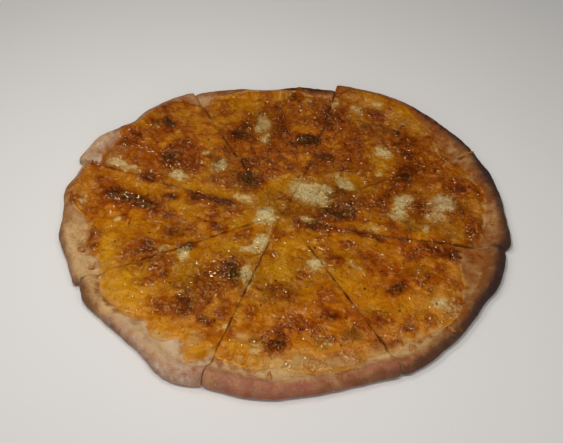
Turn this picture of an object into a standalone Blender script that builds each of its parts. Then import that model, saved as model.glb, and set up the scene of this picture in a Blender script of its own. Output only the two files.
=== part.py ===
"""Round cheese flatbread, cut into eight slices that still lie together.

Metres, +Z up. The origin is the middle of the bread's box, on the surface that the bread rests on.
Each slice is two solids: the baked dough, and the sheet of melted cheese that lies on it.
"""

import math
import random

import bmesh
import bpy
from mathutils import Vector, noise

MM = 0.001

# Dough
DOUGH_THICKNESS = 4.0 * MM
RIM_WIDTH = 16.0 * MM
CREST_INSET = 6.0 * MM  # from the outer edge to the top of the rim
EDGE_HEIGHT = 3.0 * MM  # where the bread is widest
FOOT_INSET = 3.0 * MM  # the underside stops this far inside the outer edge
RIM_WAVE = 0.6 * MM
RIM_WAVE_PITCH = 9.0 * MM

# Cheese
CHEESE_THICKNESS = 2.5 * MM
CHEESE_LIP = 0.7 * MM  # thickness at the cheese's own edge
LIP_REACH = 6.0 * MM  # the cheese thins to its lip over this distance
BARE_RIM = 3.0 * MM  # the cheese always stops at least this far inside the outer edge
LAYER_GAP = 0.3 * MM  # clearance between solids that touch
RELIEF = 0.7 * MM
RELIEF_PITCH = 17.0 * MM
FINE_RELIEF = 0.5  # share of the relief that comes again at half the pitch

# Cuts
CUTS_CROSS = Vector((-0.1 * MM, 1.3 * MM, 0.0))
CUT_GAP = 0.6 * MM
BREAD_RADIUS = 150.0 * MM
BEND_POWER = 1.5
CORNER_REACH = 0.025  # share of a slice's arc over which an outer corner draws in
CORNER_SLOPE = 0.008  # and how much that share grows with each millimetre of its drop

# Herb flakes
FLAKES_PER_SLICE = 13
FLAKE_SIZE = (1.5 * MM, 0.9 * MM, 0.5 * MM)  # half length, half width, half height
FLAKE_SIZE_SPREAD = (0.8, 1.15)
FLAKE_TILT = 0.25
FLAKE_LIFT = 0.1 * MM  # from the cheese to the middle of a flake
FLAKE_SHARES = (0.08, 0.92)  # across the slice
FLAKE_REACH = (0.14, 0.9)  # from the tip, as shares of the cheese's reach
FLAKE_NUDGE = 0.05
FLAKE_SEED = 7
GOLDEN_SHARE = (math.sqrt(5) - 1) / 2

# Mesh
ROWS = 18
FLAT_ROWS = 13  # the rows inside these lie on flat dough
FLAT_SHARE = 0.86  # the share of the cheese's reach that those rows cover
RING_SHARES = (0.68, 0.42, 0.22, 0.07, 0.0)  # of the bare rim, from the cheese outwards
FOOT_RING = (0.8 * MM, 1.1 * MM)  # inset and height of the ring under the widest one

# One row for each slice, anticlockwise seen from above, in degrees and millimetres.
# cut and bend: the angle of its first cut at the rim, and how far that cut swings at the middle.
# edge, melt and crest run from that cut to the next: the outer radius, the cheese's reach, the rim's height.
# corners: how far the outer edge draws in at its two cuts.
SLICES = (
    {
        "cut": 348.5,
        "bend": -12.0,
        "edge": (153.0, 153.5, 152.5, 152.0, 153.0, 153.5, 154.0, 153.5, 154.5),
        "melt": (130, 135, 137, 139, 142, 142, 139, 139, 136),
        "crest": (8.0, 8.5, 8.5),
        "corners": (6.5, 1.2),
    },
    {
        "cut": 26.5,
        "bend": -3.0,
        "edge": (154.5, 153.5, 153.0, 153.5, 154.5, 154.0, 153.0, 151.0, 150.0),
        "melt": (134, 137, 142, 143, 147, 147, 147, 145, 141),
        "crest": (8.5, 8.0, 8.0),
        "corners": (1.2, 1.2),
    },
    {
        "cut": 74.0,
        "bend": -8.0,
        "edge": (142.5, 141.0, 141.0, 138.0, 137.0, 140.0, 142.5, 145.0, 146.5),
        "melt": (129, 131, 133, 134, 136, 136, 134, 135, 129),
        "crest": (8.0, 7.5, 7.5),
        "corners": (1.2, 1.2),
    },
    {
        "cut": 119.0,
        "bend": 5.0,
        "edge": (150.5, 151.0, 151.0, 151.0, 148.5, 152.0, 157.0, 157.0, 157.0),
        "melt": (134, 144, 147, 147, 147, 146, 143, 143, 140),
        "crest": (7.5, 7.5, 8.0),
        "corners": (1.2, 1.2),
    },
    {
        "cut": 161.0,
        "bend": 6.0,
        "edge": (151.5, 151.0, 153.5, 150.5, 149.5, 150.0, 147.5, 146.0, 147.0),
        "melt": (148, 149, 149, 146, 132, 132, 133, 127, 129),
        "crest": (8.0, 8.0, 8.5),
        "corners": (1.2, 1.2),
    },
    {
        "cut": 206.0,
        "bend": 1.0,
        "edge": (143.5, 145.5, 143.5, 142.0, 141.5, 143.0, 147.5, 149.0, 145.5),
        "melt": (130, 134, 133, 132, 125, 132, 122, 134, 123),
        "crest": (8.5, 8.5, 11.5),
        "corners": (1.2, 1.2),
    },
    {
        "cut": 251.5,
        "bend": 0.5,
        "edge": (145.0, 145.5, 146.0, 145.5, 143.5, 143.0, 142.5, 143.5, 146.0),
        "melt": (126, 127, 128, 126, 130, 134, 135, 129, 129),
        "crest": (10.0, 9.0, 8.5),
        "corners": (1.2, 1.2),
    },
    {
        "cut": 299.7,
        "bend": 0.0,
        "edge": (147.0, 147.5, 146.5, 147.0, 146.5, 146.5, 150.0, 150.5, 150.5),
        "melt": (130, 130, 134, 139, 138, 134, 129, 123, 124),
        "crest": (8.5, 8.5, 8.5),
        "corners": (1.2, 1.2),
    },
)

# Scraps of cheese stuck to the bare rim: slice number, angle, radius, half length, half width, half height.
SCRAP_LIFT = 0.2 * MM  # from the rim to the middle of a scrap
SCRAPS = (
    (1, 25.4, 144.8, 7.0, 1.7, 1.3),
    (1, 357.5, 141.5, 1.8, 1.7, 1.2),
    (5, 196.0, 136.5, 2.8, 2.4, 1.2),
    (5, 202.8, 132.8, 2.4, 1.8, 1.1),
    (7, 267.2, 133.5, 4.2, 1.5, 1.1),
    (8, 305.5, 135.5, 3.0, 2.2, 1.2),
    (8, 316.5, 141.8, 2.6, 1.2, 1.0),
)

COLOURS = {
    "dough": (0.48, 0.33, 0.17, 1.0),
    "cheese": (0.47, 0.20, 0.02, 1.0),
}
ROUGHNESS = {"dough": 0.75, "cheese": 0.32}


def clear_scene():
    for thing in list(bpy.data.objects):
        bpy.data.objects.remove(thing)


def make_material(name):
    material = bpy.data.materials.new(name)
    material.use_nodes = True
    shader = material.node_tree.nodes["Principled BSDF"]
    shader.inputs["Base Color"].default_value = COLOURS[name]
    shader.inputs["Roughness"].default_value = ROUGHNESS[name]
    shader.inputs["Metallic"].default_value = 0.0
    return material


def smooth_step(share):
    share = min(max(share, 0.0), 1.0)
    return share * share * (3 - 2 * share)


def along(values, share):
    """A smooth curve through equally spaced values, read at a share of its length."""
    last = len(values) - 1
    place = min(max(share, 0.0), 1.0) * last
    index = min(int(place), last - 1)
    t = place - index
    before = values[max(index - 1, 0)]
    start, end = values[index], values[index + 1]
    after = values[min(index + 2, last)]
    return (
        start
        + 0.5 * t * (end - before)
        + t * t * (before - 2.5 * start + 2 * end - 0.5 * after)
        + 0.5 * t * t * t * (after - before + 3 * (start - end))
    )


class Slice:
    """The shape of one slice, in terms of a share across it and a radius from its tip."""

    def __init__(self, number):
        self.number = number
        self.row = SLICES[number - 1]
        self.following = SLICES[number % len(SLICES)]
        first, last = self.sides(0.0)
        middle = (first + last) / 2
        from_centre = CUT_GAP / 2 / math.sin((last - first) / 2)
        self.tip = CUTS_CROSS + Vector((math.cos(middle), math.sin(middle), 0)) * from_centre

    def sides(self, radius):
        """The angles of the two cuts at this radius, in radians."""
        swing = (1 - min(radius / BREAD_RADIUS, 1.0)) ** BEND_POWER
        first = self.row["cut"] + self.row["bend"] * swing
        last = self.following["cut"] + self.following["bend"] * swing
        return math.radians(first), math.radians(last if last > first else last + 360)

    def point(self, share, radius, height=0.0):
        first, last = self.sides(radius)
        angle = first + share * (last - first)
        return self.tip + Vector((math.cos(angle) * radius, math.sin(angle) * radius, height))

    def share_at(self, degrees, radius):
        """How far across the slice an angle in degrees lies at this radius."""
        first, last = self.sides(radius)
        return ((math.radians(degrees) - first) % math.tau) / (last - first)

    def edge(self, share):
        """The outer radius, with its corners at the cuts rounded or broken off."""
        radius = along(self.row["edge"], share) * MM
        radius += noise.noise(self.point(share, radius) / RIM_WAVE_PITCH) * RIM_WAVE
        for drop, from_cut in zip(self.row["corners"], (share, 1 - share)):
            reach = CORNER_REACH + CORNER_SLOPE * drop
            radius -= drop * MM * max(0.0, 1 - from_cut / reach) ** 2
        return radius

    def melt(self, share):
        """How far the cheese reaches from the tip."""
        return min(along(self.row["melt"], share) * MM, self.edge(share) - BARE_RIM)

    def dough_top(self, share, radius):
        """The height of the dough: flat in the middle, with a rounded rim."""
        inset = max(self.edge(share) - radius, 0.0)
        crest = along(self.row["crest"], share) * MM
        if inset >= CREST_INSET:
            rise = smooth_step((RIM_WIDTH - inset) / (RIM_WIDTH - CREST_INSET))
            return DOUGH_THICKNESS + (crest - DOUGH_THICKNESS) * rise
        fall = 1 - inset / CREST_INSET
        return EDGE_HEIGHT + (crest - EDGE_HEIGHT) * math.sqrt(max(1 - fall * fall, 0.0))

    def cheese_bottom(self, share, radius):
        return self.dough_top(share, radius) + LAYER_GAP

    def cheese_top(self, share, radius):
        """The dough's height and the cheese's own thickness, which swells, sinks and thins to a lip."""
        from_lip = smooth_step((self.melt(share) - radius) / LIP_REACH)
        spot = self.point(share, radius)
        swell = noise.noise(spot / RELIEF_PITCH) + FINE_RELIEF * noise.noise(2 * spot / RELIEF_PITCH)
        thickness = CHEESE_LIP + (CHEESE_THICKNESS - CHEESE_LIP + swell * RELIEF) * from_lip
        return self.cheese_bottom(share, radius) + thickness


def row_radius(shape, row, share):
    """The radius of a row of points: even over the flat dough, then closer together up the rim."""
    if row <= FLAT_ROWS:
        reach = FLAT_SHARE * row / FLAT_ROWS
    else:
        reach = FLAT_SHARE + (1 - FLAT_SHARE) * (row - FLAT_ROWS) / (ROWS - FLAT_ROWS)
    return shape.melt(share) * reach


def add_fan(mesh, shape, height, rows):
    """Rows of points from the tip outwards, each with one point more than the row before. Returns the rows made."""
    made = {}
    for row in rows:
        made[row] = []
        for column in range(row + 1):
            share = column / row if row else 0.5
            radius = row_radius(shape, row, share)
            made[row].append(mesh.verts.new(shape.point(share, radius, height(share, radius))))
    return made


def fill_rows(mesh, inner, outer):
    """Triangles between a row and the next one out."""
    for column in range(len(inner)):
        mesh.faces.new((inner[column], outer[column], outer[column + 1]))
        if column + 1 < len(inner):
            mesh.faces.new((inner[column], outer[column + 1], inner[column + 1]))


def add_sheet(mesh, shape, height, flat):
    """The surface from the tip to the cheese's edge. A flat one has a single face over the flat rows."""
    fan = add_fan(mesh, shape, height, range(ROWS + 1)) if not flat else flat_fan(mesh, shape, height)
    first = FLAT_ROWS if flat else 0
    for row in range(first, ROWS):
        fill_rows(mesh, fan[row], fan[row + 1])
    if flat:
        left = [fan[row][0] for row in range(FLAT_ROWS)]
        right = [fan[row][-1] for row in range(FLAT_ROWS - 1, 0, -1)]
        mesh.faces.new(left + fan[FLAT_ROWS] + right)
    return fan


def flat_fan(mesh, shape, height):
    """As add_fan, but the rows over the flat dough have only their two ends."""
    made = add_fan(mesh, shape, height, range(FLAT_ROWS, ROWS + 1))
    for row in range(FLAT_ROWS):
        ends = (0.5,) if row == 0 else (0.0, 1.0)
        made[row] = []
        for share in ends:
            radius = row_radius(shape, row, share)
            made[row].append(mesh.verts.new(shape.point(share, radius, height(share, radius))))
    return made


def fill_walls(mesh, top, bottom):
    """The two upright cut faces between a top and a bottom fan."""
    for side in (0, -1):
        for row in range(ROWS):
            corners = [top[row][side], top[row + 1][side], bottom[row + 1][side], bottom[row][side]]
            mesh.faces.new(corners)


def finish_mesh(name, mesh, material):
    bmesh.ops.recalc_face_normals(mesh, faces=mesh.faces[:])
    bmesh.ops.triangulate(mesh, faces=mesh.faces[:])
    data = bpy.data.meshes.new(name)
    mesh.to_mesh(data)
    mesh.free()
    data.materials.append(material)
    made = bpy.data.objects.new(name, data)
    bpy.context.scene.collection.objects.link(made)
    return made


def make_cheese(shape, material):
    """The sheet of melted cheese on one slice."""
    mesh = bmesh.new()
    top = add_sheet(mesh, shape, shape.cheese_top, flat=False)
    bottom = add_sheet(mesh, shape, shape.cheese_bottom, flat=True)
    fill_walls(mesh, top, bottom)
    for column in range(ROWS):
        mesh.faces.new((top[ROWS][column], top[ROWS][column + 1], bottom[ROWS][column + 1], bottom[ROWS][column]))
    return finish_mesh(f"cheese_{shape.number}", mesh, material)


def rim_rings(mesh, shape):
    """The rings of points across the bare rim, round its outer side and under it, each from cut to cut."""
    shares = [column / ROWS for column in range(ROWS + 1)]
    rings = []
    for way_in in RING_SHARES:
        ring = []
        for share in shares:
            edge = shape.edge(share)
            radius = edge - way_in * (edge - shape.melt(share))
            ring.append(mesh.verts.new(shape.point(share, radius, shape.dough_top(share, radius))))
        rings.append(ring)
    for inset, height in (FOOT_RING, (FOOT_INSET, 0.0)):
        rings.append([mesh.verts.new(shape.point(share, shape.edge(share) - inset, height)) for share in shares])
    return rings


def make_dough(shape, material):
    """The baked dough of one slice: a flat base with a puffed rim."""
    mesh = bmesh.new()
    top = add_sheet(mesh, shape, shape.dough_top, flat=True)
    rings = [top[ROWS]] + rim_rings(mesh, shape)
    for inner, outer in zip(rings, rings[1:]):
        for column in range(ROWS):
            mesh.faces.new((inner[column], outer[column], outer[column + 1], inner[column + 1]))
    # The underside has points only along the cuts, so that the cut faces stand upright.
    bottom = {}
    for row in range(FLAT_ROWS + 1):
        ends = (0.5,) if row == 0 else (0.0, 1.0)
        bottom[row] = [mesh.verts.new(shape.point(share, row_radius(shape, row, share))) for share in ends]
    for side in (0, -1):
        for row in range(FLAT_ROWS):
            mesh.faces.new((top[row][side], top[row + 1][side], bottom[row + 1][side], bottom[row][side]))
        profile = [top[row][side] for row in range(FLAT_ROWS, ROWS)] + [ring[side] for ring in rings]
        mesh.faces.new(profile + [bottom[FLAT_ROWS][side]])
    left = [bottom[row][0] for row in range(FLAT_ROWS + 1)]
    right = [bottom[row][-1] for row in range(FLAT_ROWS, 0, -1)]
    mesh.faces.new(left + rings[-1] + right)
    return finish_mesh(f"crust_{shape.number}", mesh, material)


def make_lump(place, half_size, turn, tilt=0.0, detail=1):
    """A small rounded body, longer than it is wide, set down at a place."""
    mesh = bmesh.new()
    bmesh.ops.create_icosphere(mesh, subdivisions=detail, radius=1.0)
    bmesh.ops.scale(mesh, vec=half_size, verts=mesh.verts[:])
    data = bpy.data.meshes.new("lump")
    mesh.to_mesh(data)
    mesh.free()
    lump = bpy.data.objects.new("lump", data)
    lump.location = place
    lump.rotation_euler = (tilt, 0.0, turn)
    return lump


def fuse(body, lumps):
    """Joins small bodies to the one they lie on, and leaves one closed solid."""
    group = bpy.data.collections.new("lumps")
    bpy.context.scene.collection.children.link(group)
    for lump in lumps:
        group.objects.link(lump)
    union = body.modifiers.new("join", "BOOLEAN")
    union.operation = "UNION"
    union.operand_type = "COLLECTION"
    union.collection = group
    union.solver = "EXACT"
    bpy.context.view_layer.update()
    with_lumps = bpy.data.meshes.new_from_object(body.evaluated_get(bpy.context.evaluated_depsgraph_get()))
    body.modifiers.remove(union)
    with_lumps.name = body.name
    body.data = with_lumps
    for lump in lumps:
        bpy.data.objects.remove(lump)
    bpy.data.collections.remove(group)


def herb_flakes(shape):
    """Dried herb, spread evenly over the cheese: a spiral of points, each nudged at random."""
    draw = random.Random(FLAKE_SEED * 100 + shape.number)
    flakes = []
    for index in range(FLAKES_PER_SLICE):
        across = (index * GOLDEN_SHARE + draw.uniform(0, FLAKE_NUDGE)) % 1.0
        share = FLAKE_SHARES[0] + (FLAKE_SHARES[1] - FLAKE_SHARES[0]) * across
        outwards = math.sqrt((index + 0.5) / FLAKES_PER_SLICE)
        radius = shape.melt(share) * (FLAKE_REACH[0] + (FLAKE_REACH[1] - FLAKE_REACH[0]) * outwards)
        height = shape.cheese_top(share, radius) + FLAKE_LIFT
        size = [side * draw.uniform(*FLAKE_SIZE_SPREAD) for side in FLAKE_SIZE]
        place = shape.point(share, radius, height)
        flakes.append(make_lump(place, size, draw.uniform(0, math.pi), draw.uniform(-FLAKE_TILT, FLAKE_TILT)))
    return flakes


def rim_scraps(shape):
    """The scraps of cheese stuck to this slice's rim, each lying along the radius."""
    scraps = []
    for number, degrees, radius, *half_size in SCRAPS:
        if number != shape.number:
            continue
        share = shape.share_at(degrees, radius * MM)
        height = shape.dough_top(share, radius * MM) + SCRAP_LIFT
        place = shape.point(share, radius * MM, height)
        scraps.append(make_lump(place, [side * MM for side in half_size], math.radians(degrees), detail=2))
    return scraps


def main():
    clear_scene()
    dough = make_material("dough")
    cheese = make_material("cheese")
    for number in range(1, len(SLICES) + 1):
        shape = Slice(number)
        crust = make_dough(shape, dough)
        scraps = rim_scraps(shape)
        if scraps:
            fuse(crust, scraps)
        fuse(make_cheese(shape, cheese), herb_flakes(shape))


main()
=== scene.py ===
import math
import random
from types import SimpleNamespace

import bmesh
import bpy
import numpy as np
from mathutils import Matrix, Vector, noise


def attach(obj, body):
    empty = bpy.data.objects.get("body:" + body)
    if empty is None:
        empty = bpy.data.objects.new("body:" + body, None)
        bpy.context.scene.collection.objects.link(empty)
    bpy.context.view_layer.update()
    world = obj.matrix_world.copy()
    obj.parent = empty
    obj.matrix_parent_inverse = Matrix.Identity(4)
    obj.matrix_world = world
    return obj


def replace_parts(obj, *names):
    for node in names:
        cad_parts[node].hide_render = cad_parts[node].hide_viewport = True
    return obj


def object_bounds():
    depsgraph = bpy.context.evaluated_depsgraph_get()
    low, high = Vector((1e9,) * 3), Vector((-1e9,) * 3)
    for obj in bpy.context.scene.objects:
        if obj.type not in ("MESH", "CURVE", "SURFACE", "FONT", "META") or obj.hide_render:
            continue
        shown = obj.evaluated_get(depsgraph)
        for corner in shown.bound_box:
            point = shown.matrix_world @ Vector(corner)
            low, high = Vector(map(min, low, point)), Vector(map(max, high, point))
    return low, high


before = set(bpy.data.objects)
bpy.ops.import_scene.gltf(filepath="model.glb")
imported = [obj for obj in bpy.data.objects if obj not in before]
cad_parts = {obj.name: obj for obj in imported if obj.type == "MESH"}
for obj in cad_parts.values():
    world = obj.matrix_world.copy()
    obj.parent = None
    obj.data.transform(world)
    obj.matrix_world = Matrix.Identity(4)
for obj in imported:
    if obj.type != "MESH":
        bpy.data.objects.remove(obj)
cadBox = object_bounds()
mm = 0.001
print("frame loaded, box", [round(v, 4) for corner in cadBox for v in corner])

# what the solids are made from, repeated here so that the fine surfaces land on them
bread = {
    "doughThickness": 4.0 * mm,
    "rimWidth": 16.0 * mm,
    "crestInset": 6.0 * mm,
    "edgeHeight": 3.0 * mm,
    "footInset": 3.0 * mm,
    "rimWave": 0.6 * mm,
    "rimWavePitch": 9.0 * mm,
    "cuts": (-0.1 * mm, 1.3 * mm),      # where the cuts cross
    "cutGap": 0.6 * mm,
    "radius": 150.0 * mm,
    "bendPower": 1.5,
    "corners": (1.2, 1.2),      # how far a slice's outer corners are rubbed off
    "cornerReach": 0.025,
    "cornerSlope": 0.008,
}

# cut is the angle of a slice's first cut, anticlockwise, and bend how far that cut turns near the middle,
# both in degrees; closed is how far cheese has closed it again; edge, melt and crest are the outer edge, the
# cheese's reach and the height of the rim in mm, at equal steps to the next cut; spill is how much further
# the cheese hides the dough
slices = [
    {"cut": 348.5, "closed": 0.35, "bend": -12.0, "corners": (6.5, 1.2), "crest": (8.0, 8.5, 8.5),
     "edge": (153.0, 153.5, 152.5, 152.0, 153.0, 153.5, 154.0, 153.5, 154.5),
     "melt": (130, 135, 137, 139, 142, 142, 139, 139, 136)},
    {"cut": 26.5, "closed": 0.5, "spill": 4.0, "bend": -3.0, "crest": (8.5, 8.0, 8.0),
     "edge": (154.5, 153.5, 153.0, 153.5, 154.5, 154.0, 153.0, 151.0, 150.0),
     "melt": (134, 137, 142, 143, 147, 147, 147, 145, 141)},
    {"cut": 74.0, "closed": 0.5, "bend": -8.0, "crest": (8.0, 7.5, 7.5),
     "edge": (142.5, 141.0, 141.0, 138.0, 137.0, 140.0, 142.5, 145.0, 146.5),
     "melt": (129, 131, 133, 134, 136, 136, 134, 135, 129)},
    {"cut": 119.0, "closed": 0.4, "spill": 3.0, "bend": 5.0, "crest": (7.5, 7.5, 8.0),
     "edge": (150.5, 151.0, 151.0, 151.0, 148.5, 152.0, 157.0, 157.0, 157.0),
     "melt": (134, 144, 147, 147, 147, 146, 143, 143, 140)},
    {"cut": 161.0, "closed": 0.35, "bend": 6.0, "crest": (8.0, 8.0, 8.5),
     "edge": (151.5, 151.0, 153.5, 150.5, 149.5, 150.0, 147.5, 146.0, 147.0),
     "melt": (148, 149, 149, 146, 132, 132, 133, 127, 129)},
    {"cut": 206.0, "closed": 0.45, "bend": 1.0, "crest": (8.5, 8.5, 11.5),
     "edge": (143.5, 145.5, 143.5, 142.0, 141.5, 143.0, 147.5, 149.0, 145.5),
     "melt": (130, 134, 133, 132, 125, 132, 122, 134, 123)},
    {"cut": 251.5, "closed": 0.5, "bend": 0.5, "crest": (10.0, 9.0, 8.5),
     "edge": (145.0, 145.5, 146.0, 145.5, 143.5, 143.0, 142.5, 143.5, 146.0),
     "melt": (126, 127, 128, 126, 130, 134, 135, 129, 129)},
    {"cut": 299.7, "closed": 0.6, "spill": -1.5, "bend": 0.0, "crest": (8.5, 8.5, 8.5),
     "edge": (147.0, 147.5, 146.5, 147.0, 146.5, 146.5, 150.0, 150.5, 150.5),
     "melt": (130, 130, 134, 139, 138, 134, 129, 123, 124)},
]

cheeseLayer = {
    "thickness": 2.5 * mm,
    "lip": 0.7 * mm,
    "lipReach": 6.0 * mm,
    "bareRim": 3.0 * mm,
    "relief": 0.7 * mm,
    "reliefPitch": 17.0 * mm,
    "fineRelief": 0.5,
    "lift": 0.05 * mm,          # from the dough to the cheese's underside
    "rows": 350,                # of points from the tip to the cheese's edge
    "rowsBelow": 35,
    "lipWave": 1.6 * mm,        # how unevenly the melted edge has run
    "lipRound": 7.0 * mm,
    "lipCurve": 0.9,            # 0.5 for a round edge, 1 and more for one that thins out
    "lipWavePitch": 8.0 * mm,
    "lipDraw": 0.3 * mm,
    "lipRoundPitch": 14.0 * mm,
    "thinnest": 0.25 * mm,
    "reliefFade": 3.0 * mm,     # the relief dies away over this distance from the melted edge
    "closedUneven": 1.3,        # how much the closing of a cut changes along it
    "closedPitch": 12.0 * mm,
    "closedNearTip": 30.0 * mm,         # the cuts have all closed this near the tips
    "cutRound": 1.0 * mm,
    "cutRoundPitch": 6.0 * mm,
    "cutWander": 0.26 * mm,
    "cutWanderReach": 3.0 * mm,
    "cutShade": 1.6 * mm,       # painted shade: the darker line along an open cut, where the gap lies in shade
    "coverFade": 9.0 * mm,      # how gently the cheese gives way to bare dough
    "coverRagged": 1.1,
    "coverPitch": 6.0 * mm,
}

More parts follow.
